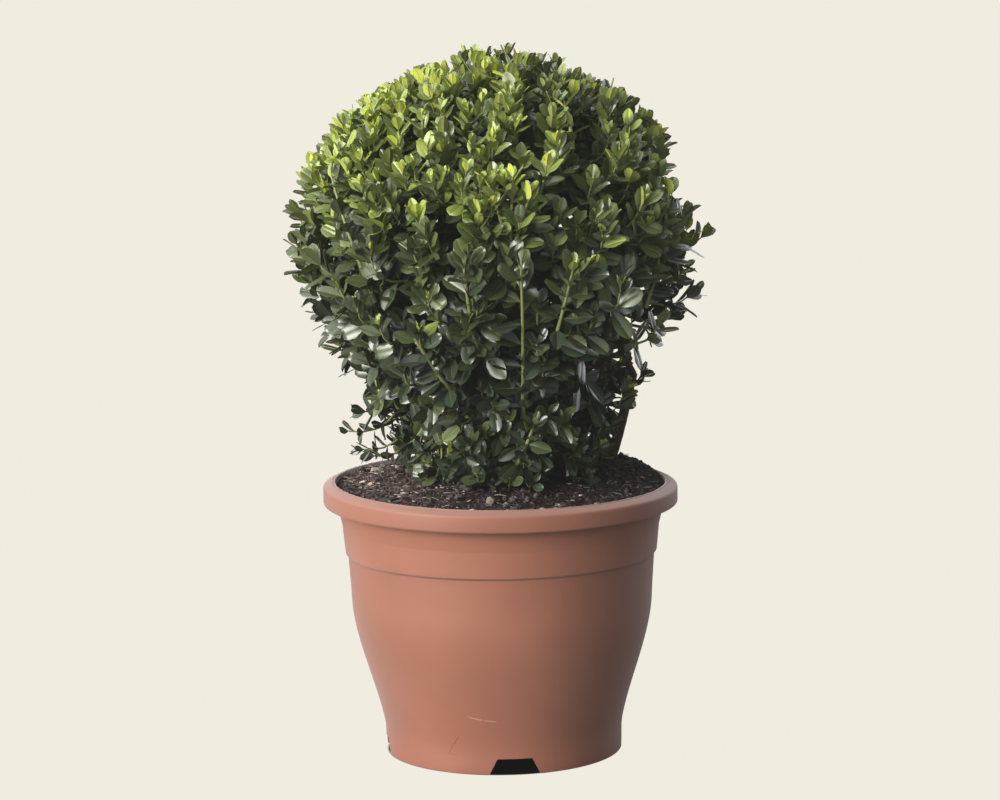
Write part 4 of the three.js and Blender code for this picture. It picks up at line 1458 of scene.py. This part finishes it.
    def skirt(self, azimuth):
        """Height of the lowest shoots: clear of the soil at the front."""
        return self.soil + lerp(6, 15, smoothstep(-math.sin(azimuth), 0.5, 0.95)) * MM

    def bare(self, tip):
        """The opening beside the stem that stands apart from the others."""
        limit = lerp(0.073, 0.082, smoothstep(tip[2], 0.224, 0.234))
        return tip[0] > limit and -0.05 < tip[1] < 0.07 and tip[2] < 0.246 and self.dice.random() < 0.93

    def thinness(self, azimuth, height):
        """Share of shoots missing: in hollows, and low on the side where the sky shows through."""
        turn = (math.degrees(azimuth) + 180) % 360 - 180
        open_side = smoothstep(turn, -60, -35) * (1 - smoothstep(turn, 50, 80))
        low = smoothstep(height, 0.23, 0.26) * (1 - smoothstep(height, 0.375, 0.415))
        return max(0.9 * self.hollow(azimuth, height), 0.60 * open_side * low)

    def vigour(self, azimuth, height):
        """How young and yellow a shoot's tip is: more so near the top and on the side to the light, partly as
        young growth and partly as painted light.
        """
        high = smoothstep(height, 0.34, 0.50)
        sunny = 0.5 + 0.5 * math.cos(azimuth - math.radians(205))
        if self.dice.random() < lerp(0.035, 0.05, high) * smoothstep(height, 0.24, 0.27):
            return 0.95
        return min(1.0, 0.05 + 0.22 * high + 0.55 * sunny * high + 0.55 * self.dice.random() ** 2.6)

    def grown(self, height):
        """Length of a grown leaf: large in the middle of the crown, small at the top and at the skirt."""
        high = smoothstep(height, 0.37, 0.46)
        length_here = lerp(self.crown.leaf_length, self.crown.leaf_length_top, high)
        return length_here * lerp(0.74, 1.0, smoothstep(height, 0.235, 0.285))

    def shoot(self, mass, start, tip, heading, vigour, size=1.0, thick=1.0, reach=0.066, shaded=False):
        """One shoot: a stem that bends up to its heading, with crossed pairs of leaves and a bud.

        Its leaves come down from the tip as far as reach. A shaded shoot has only old leaves in the darkest
        tints, partly as painted shade, and no bud.
        """
        dice = self.dice
        grown = self.grown(tip[2]) * lerp(0.84, 1.10, dice.random()) * size
        tip = tip - heading * grown * 0.34
        span = np.linalg.norm(tip - start)
        path = evenly(bezier(start, tip - heading * span * 0.5, tip, 10), 8)
        low = 1.0 if shaded else 1 - smoothstep(tip[2], 0.30, 0.44)
        radii = np.linspace(lerp(1.2, 1.5, low), lerp(0.55, 0.7, low), 9) * MM * thick
        self.young_wood[mass.name].append((path, radii))
        far = along_path(path)
        gap = grown * lerp(0.36, 0.52, low) * lerp(0.85, 1.2, dice.random())
        turn = dice.random() * math.pi
        back, pair = 0.0, 0
        while back < min(far[-1] * 0.92, reach):
            here, near = path_point(path, far, np.array([far[-1] - back, far[-1] - back - 2 * MM]))
            self.leaf_pair(mass, here, unit(here - near), turn, pair + 8 * shaded, grown, vigour, low)
            turn += math.pi / 2 + (dice.random() - 0.5) * 0.5
            share = YOUNG_PAIRS[pair][2] if pair < len(YOUNG_PAIRS) else lerp(0.9, 1.15, dice.random())
            back += gap * share
            pair += 1
        if not shaded:
            self.bud(mass, tip, heading, vigour, low)

    def leaf_pair(self, mass, here, along, turn, pair, grown, vigour, low):
        """Two leaves across the stem from each other. The pair is counted from the tip."""
        dice = self.dice
        share, spread = 1.0, min(84, 54 + 7 * (pair - 2))
        if pair < len(YOUNG_PAIRS):
            share, spread, _ = YOUNG_PAIRS[pair]
        spread = math.radians(spread) * lerp(0.76, 1.0, low)
        side = turned_about(across(along), along, turn)
        outward = unit(here - self.heart)
        light = (UP * 0.75 + outward + np.array([-0.35, -0.25, 0.0])) * lerp(0.40, 0.85, low)
        for sign in (1, -1):
            if pair > 3 and dice.random() < 0.12:
                continue
            tilt = spread + (dice.random() - 0.5) * 0.5
            out = turned_about(side * sign, along, (dice.random() - 0.5) * 0.5)
            axis = along * math.cos(tilt) + out * math.sin(tilt)
            axis = unit(axis - UP * 0.28 * low * dice.random() + (dice.random(3) - 0.5) * 0.22)
            up = along * math.sin(tilt) - out * math.cos(tilt)
            up = unit(up + light + (dice.random(3) - 0.5) * 0.5)
            up = unit(up - axis * np.dot(up, axis))
            size = grown * share * lerp(0.84, 1.10, dice.random())
            wide = size * (lerp(0.50, 0.63, dice.random()) - 0.04 * low)
            root = here + out * 0.6 * MM
            if self.in_reach(root + axis * size):
                tint = self.tint(pair, vigour, low)
                self.leaves[mass.name].add(root, axis, up, size, wide, tint, dice.integers(0, len(TEMPLATES)))

    def tint(self, pair, vigour, low):
        """Which tint a leaf gets: the youngest pairs of a vigorous shoot are the brightest."""
        dice = self.dice
        young = vigour * max(0.0, 1 - pair * 0.17)
        age = 0.30 * (1 - low) + 0.26 * dice.random() ** 1.5 + 0.14 * vigour
        # Shaded shoots inside the crown take the two darkest tints: partly old leaves, partly painted shade.
        if pair > 7 and low == 1.0:
            return int(dice.random() < 0.25)
        if dice.random() < 0.015 * (1 - low):
            return LIME
        value = 1.2 + 8.4 * max(young, age) + (dice.random() - 0.5) * 1.8 - 0.3 * low - 0.5 * max(0, pair - 3)
        return int(min(LIME, max(0, round(value))))

    def bud(self, mass, tip, heading, vigour, low, sure=False):
        """A tuft of narrow young leaves at a shoot's tip."""
        dice, buds = self.dice, self.buds[mass.name]
        if not sure and buds.rows and dice.random() > lerp(0.14, 0.10, low) + 0.18 * vigour:
            return
        side = across(heading)
        turn = dice.random() * math.pi
        for i in range(int(dice.integers(3, 6))):
            out = turned_about(side, heading, turn + i * math.pi / 2 * 1.3)
            tilt = math.radians(lerp(6, 32, dice.random()))
            axis = unit(heading * math.cos(tilt) + out * math.sin(tilt))
            up = unit(heading * math.sin(tilt) - out * math.cos(tilt))
            size = lerp(5.5, 10.5, dice.random()) * MM
            if self.in_reach(tip + axis * size):
                buds.add(tip, axis, up, size, size * lerp(0.22, 0.34, dice.random()), BUD, NARROW)

    def in_reach(self, point):
        """Leaves stay above the soil and near the crown's form, with more room low down for stray shoots."""
        out, height = math.hypot(point[0], point[1]), point[2]
        beyond = out - crown_radius(self.crown, min(height, self.crown.top - 8 * MM))
        level = self.soil + (1 if out < 0.085 else 3) * MM
        return level < height < self.crown.top + 22 * MM and beyond < (31 if height < 0.26 else 14) * MM


class TOPIARY_OT_foliage(bpy.types.Operator):
    """Grows the branches, shoots and leaves of every foliage mass"""

    bl_idname = "topiary.foliage"
    bl_label = "Foliage"

    def execute(self, context):
        crown = context.scene.topiary_crown
        grower = Grower(crown)
        grower.grow()
        leaves = leaf_materials(crown)
        bark = bark_material(crown)
        young = new_material("young_stem", crown.stem, 0.5, Specular_IOR_Level=0.4)[0]
        for mass in grower.masses:
            solids, slot = [f"foliage_{mass.name}"], f"foliage_{mass.tier}"
            for kind, bags in (("leaves", grower.leaves), ("buds", grower.buds)):
                piece_from_arrays(f"{kind}_{mass.name}", bags[mass.name].shapes(), leaves, solids)
            woods = []
            for index, (wood, sides) in enumerate(((grower.old_wood, 6), (grower.young_wood, 5))):
                points, faces = tubes(*zip(*wood[mass.name]), sides)
                woods.append((points, (faces, np.full(len(faces), index))))
            piece_from_arrays(f"twigs_{mass.name}", woods, [bark, young], solids)
        return {"FINISHED"}


# ------------------------------------------------------------------ stage

# Direction that the key light comes from.
KEY_FROM = (-0.80, -0.66, 0.26)

# The painted shade under the pot, a nearly black floor colour, gives way to the plain floor between these two
# radii.
CONTACT = (0.0855, 0.0875)


class TOPIARY_OT_stage(bpy.types.Operator):
    """Sets the pale floor, the backdrop, the studio lights and the camera"""

    bl_idname = "topiary.stage"
    bl_label = "Stage"

    def execute(self, context):
        scene, stage = context.scene, context.scene.topiary_stage
        view = scene.view_settings
        view.view_transform = "Standard"
        view.look = "None"
        view.use_curve_mapping = True
        view.curve_mapping.black_level = (-0.010, -0.010, -0.009)
        view.curve_mapping.update()
        self.floor(stage)
        self.world(scene, stage)
        self.lights(stage)
        camera = in_scene("camera", bpy.data.cameras.new("camera"))
        camera.data.lens = stage.lens
        camera.data.sensor_width = 36
        tilt = Matrix.Rotation(math.pi / 2 - stage.pitch, 4, "X") @ Matrix.Rotation(stage.roll, 4, "Z")
        place = (stage.camera_side, -stage.distance, stage.camera_height)
        camera.matrix_world = Matrix.Translation(place) @ tilt
        scene.camera = camera
        return {"FINISHED"}

    def floor(self, stage):
        """A wide floor that has the backdrop's glow to the camera, but for the painted shade under the pot,
        where its own colour is nearly black.
        """
        bm = bmesh.new()
        bmesh.ops.create_circle(bm, cap_ends=True, segments=96, radius=40)
        material, tree, shader = new_material("pale_floor", stage.backdrop, 0.9, Specular_IOR_Level=0.0)
        glow = node(tree, "ShaderNodeEmission", {"Color": (*stage.backdrop, 1), "Strength": 1.025})
        seen = node(tree, "ShaderNodeLightPath").outputs["Is Camera Ray"]
        beyond = ramp(tree, vectors(tree, "LENGTH", object_place(tree)), *CONTACT, 0.0, 0.95)
        # Painted shade: under the pot the floor's own colour is nearly black.
        shaded = mix_colours(tree, beyond, (0.006, 0.004, 0.003), (0.21, 0.20, 0.184))
        tree.links.new(shaded, shader.inputs["Base Color"])
        share = product(tree, seen, beyond)
        mixed = node(tree, "ShaderNodeMixShader", {0: share, 1: shader.outputs[0], 2: glow.outputs[0]})
        tree.links.new(mixed.outputs[0], tree.nodes["Material Output"].inputs["Surface"])
        in_scene("floor", mesh_from_bmesh("floor", bm, [material]))

    def world(self, scene, stage):
        """Soft light that is strong from the key light's side, with a bright wall behind in reflections."""
        world = bpy.data.worlds.new("studio")
        world.use_nodes = True
        tree = world.node_tree
        where = node(tree, "ShaderNodeTexCoord").outputs["Generated"]
        rays = node(tree, "ShaderNodeLightPath").outputs
        toward = vectors(tree, "DOT_PRODUCT", where, Vector(KEY_FROM).normalized())
        soft = ramp(tree, toward, -0.1, 1.0, 0.16, 2.4, interpolation_type="SMOOTHSTEP")
        wall = ramp(tree, component(tree, where, "Y"), 0.1, 0.8, 0.0, 0.95)
        mirrored = product(tree, wall, rays["Is Glossy Ray"])
        level = maths(tree, "ADD", product(tree, soft, stage.fill), mirrored)
        sky = tree.nodes["Background"]
        sky.inputs["Color"].default_value = (0.90, 0.95, 1.0, 1)
        tree.links.new(level, sky.inputs["Strength"])
        seen = node(tree, "ShaderNodeBackground", {"Color": (*stage.backdrop, 1), "Strength": 1.0})
        inputs = {0: rays["Is Camera Ray"], 1: sky.outputs[0], 2: seen.outputs[0]}
        mixed = node(tree, "ShaderNodeMixShader", inputs)
        tree.links.new(mixed.outputs[0], tree.nodes["World Output"].inputs["Surface"])
        scene.world = world

    def lights(self, stage):
        """A low soft key light, a softer one from above, and a weak one from behind."""
        suns = [
            ("key", stage.key, 32, (1.0, 0.965, 0.90), KEY_FROM),
            ("top", stage.top, 75, (1.0, 0.98, 0.94), (-0.55, -0.35, 1.0)),
            ("rim", stage.rim, 50, (0.95, 0.97, 1.0), (0.70, 0.70, 0.25)),
        ]
        for name, energy, spread, tint, from_here in suns:
            sun = in_scene(name, bpy.data.lights.new(name, "SUN"))
            sun.data.energy = energy
            sun.data.angle = math.radians(spread)
            sun.data.color = tint
            sun.rotation_euler = Vector(from_here).to_track_quat("Z", "Y").to_euler()


# ------------------------------------------------------------------ add-on

SETTINGS = {
    "topiary_pot": PotSettings,
    "topiary_soil": SoilSettings,
    "topiary_crown": CrownSettings,
    "topiary_stage": StageSettings,
}
STEPS = [TOPIARY_OT_pot, TOPIARY_OT_soil, TOPIARY_OT_limbs, TOPIARY_OT_foliage, TOPIARY_OT_stage]


class VIEW3D_PT_topiary(bpy.types.Panel):
    """Sizes, colours and build steps of the topiary"""

    bl_label = "Box topiary ball"
    bl_idname = "VIEW3D_PT_topiary"
    bl_space_type = "VIEW_3D"
    bl_region_type = "UI"
    bl_category = "Topiary"

    def draw(self, context):
        for name, group in SETTINGS.items():
            box = self.layout.box()
            for prop in group.__annotations__:
                box.prop(getattr(context.scene, name), prop)
        for step in STEPS:
            self.layout.operator(step.bl_idname)


def register():
    for cls in (*SETTINGS.values(), *STEPS, VIEW3D_PT_topiary):
        bpy.utils.register_class(cls)
    for name, group in SETTINGS.items():
        setattr(bpy.types.Scene, name, PointerProperty(type=group))


def unregister():
    for name in SETTINGS:
        delattr(bpy.types.Scene, name)
    for cls in (VIEW3D_PT_topiary, *reversed(STEPS), *SETTINGS.values()):
        bpy.utils.unregister_class(cls)


def main():
    register()
    bpy.ops.topiary.pot()
    bpy.ops.topiary.soil()
    bpy.ops.topiary.limbs()
    bpy.ops.topiary.foliage()
    bpy.ops.topiary.stage()


if __name__ == "__main__":
    main()
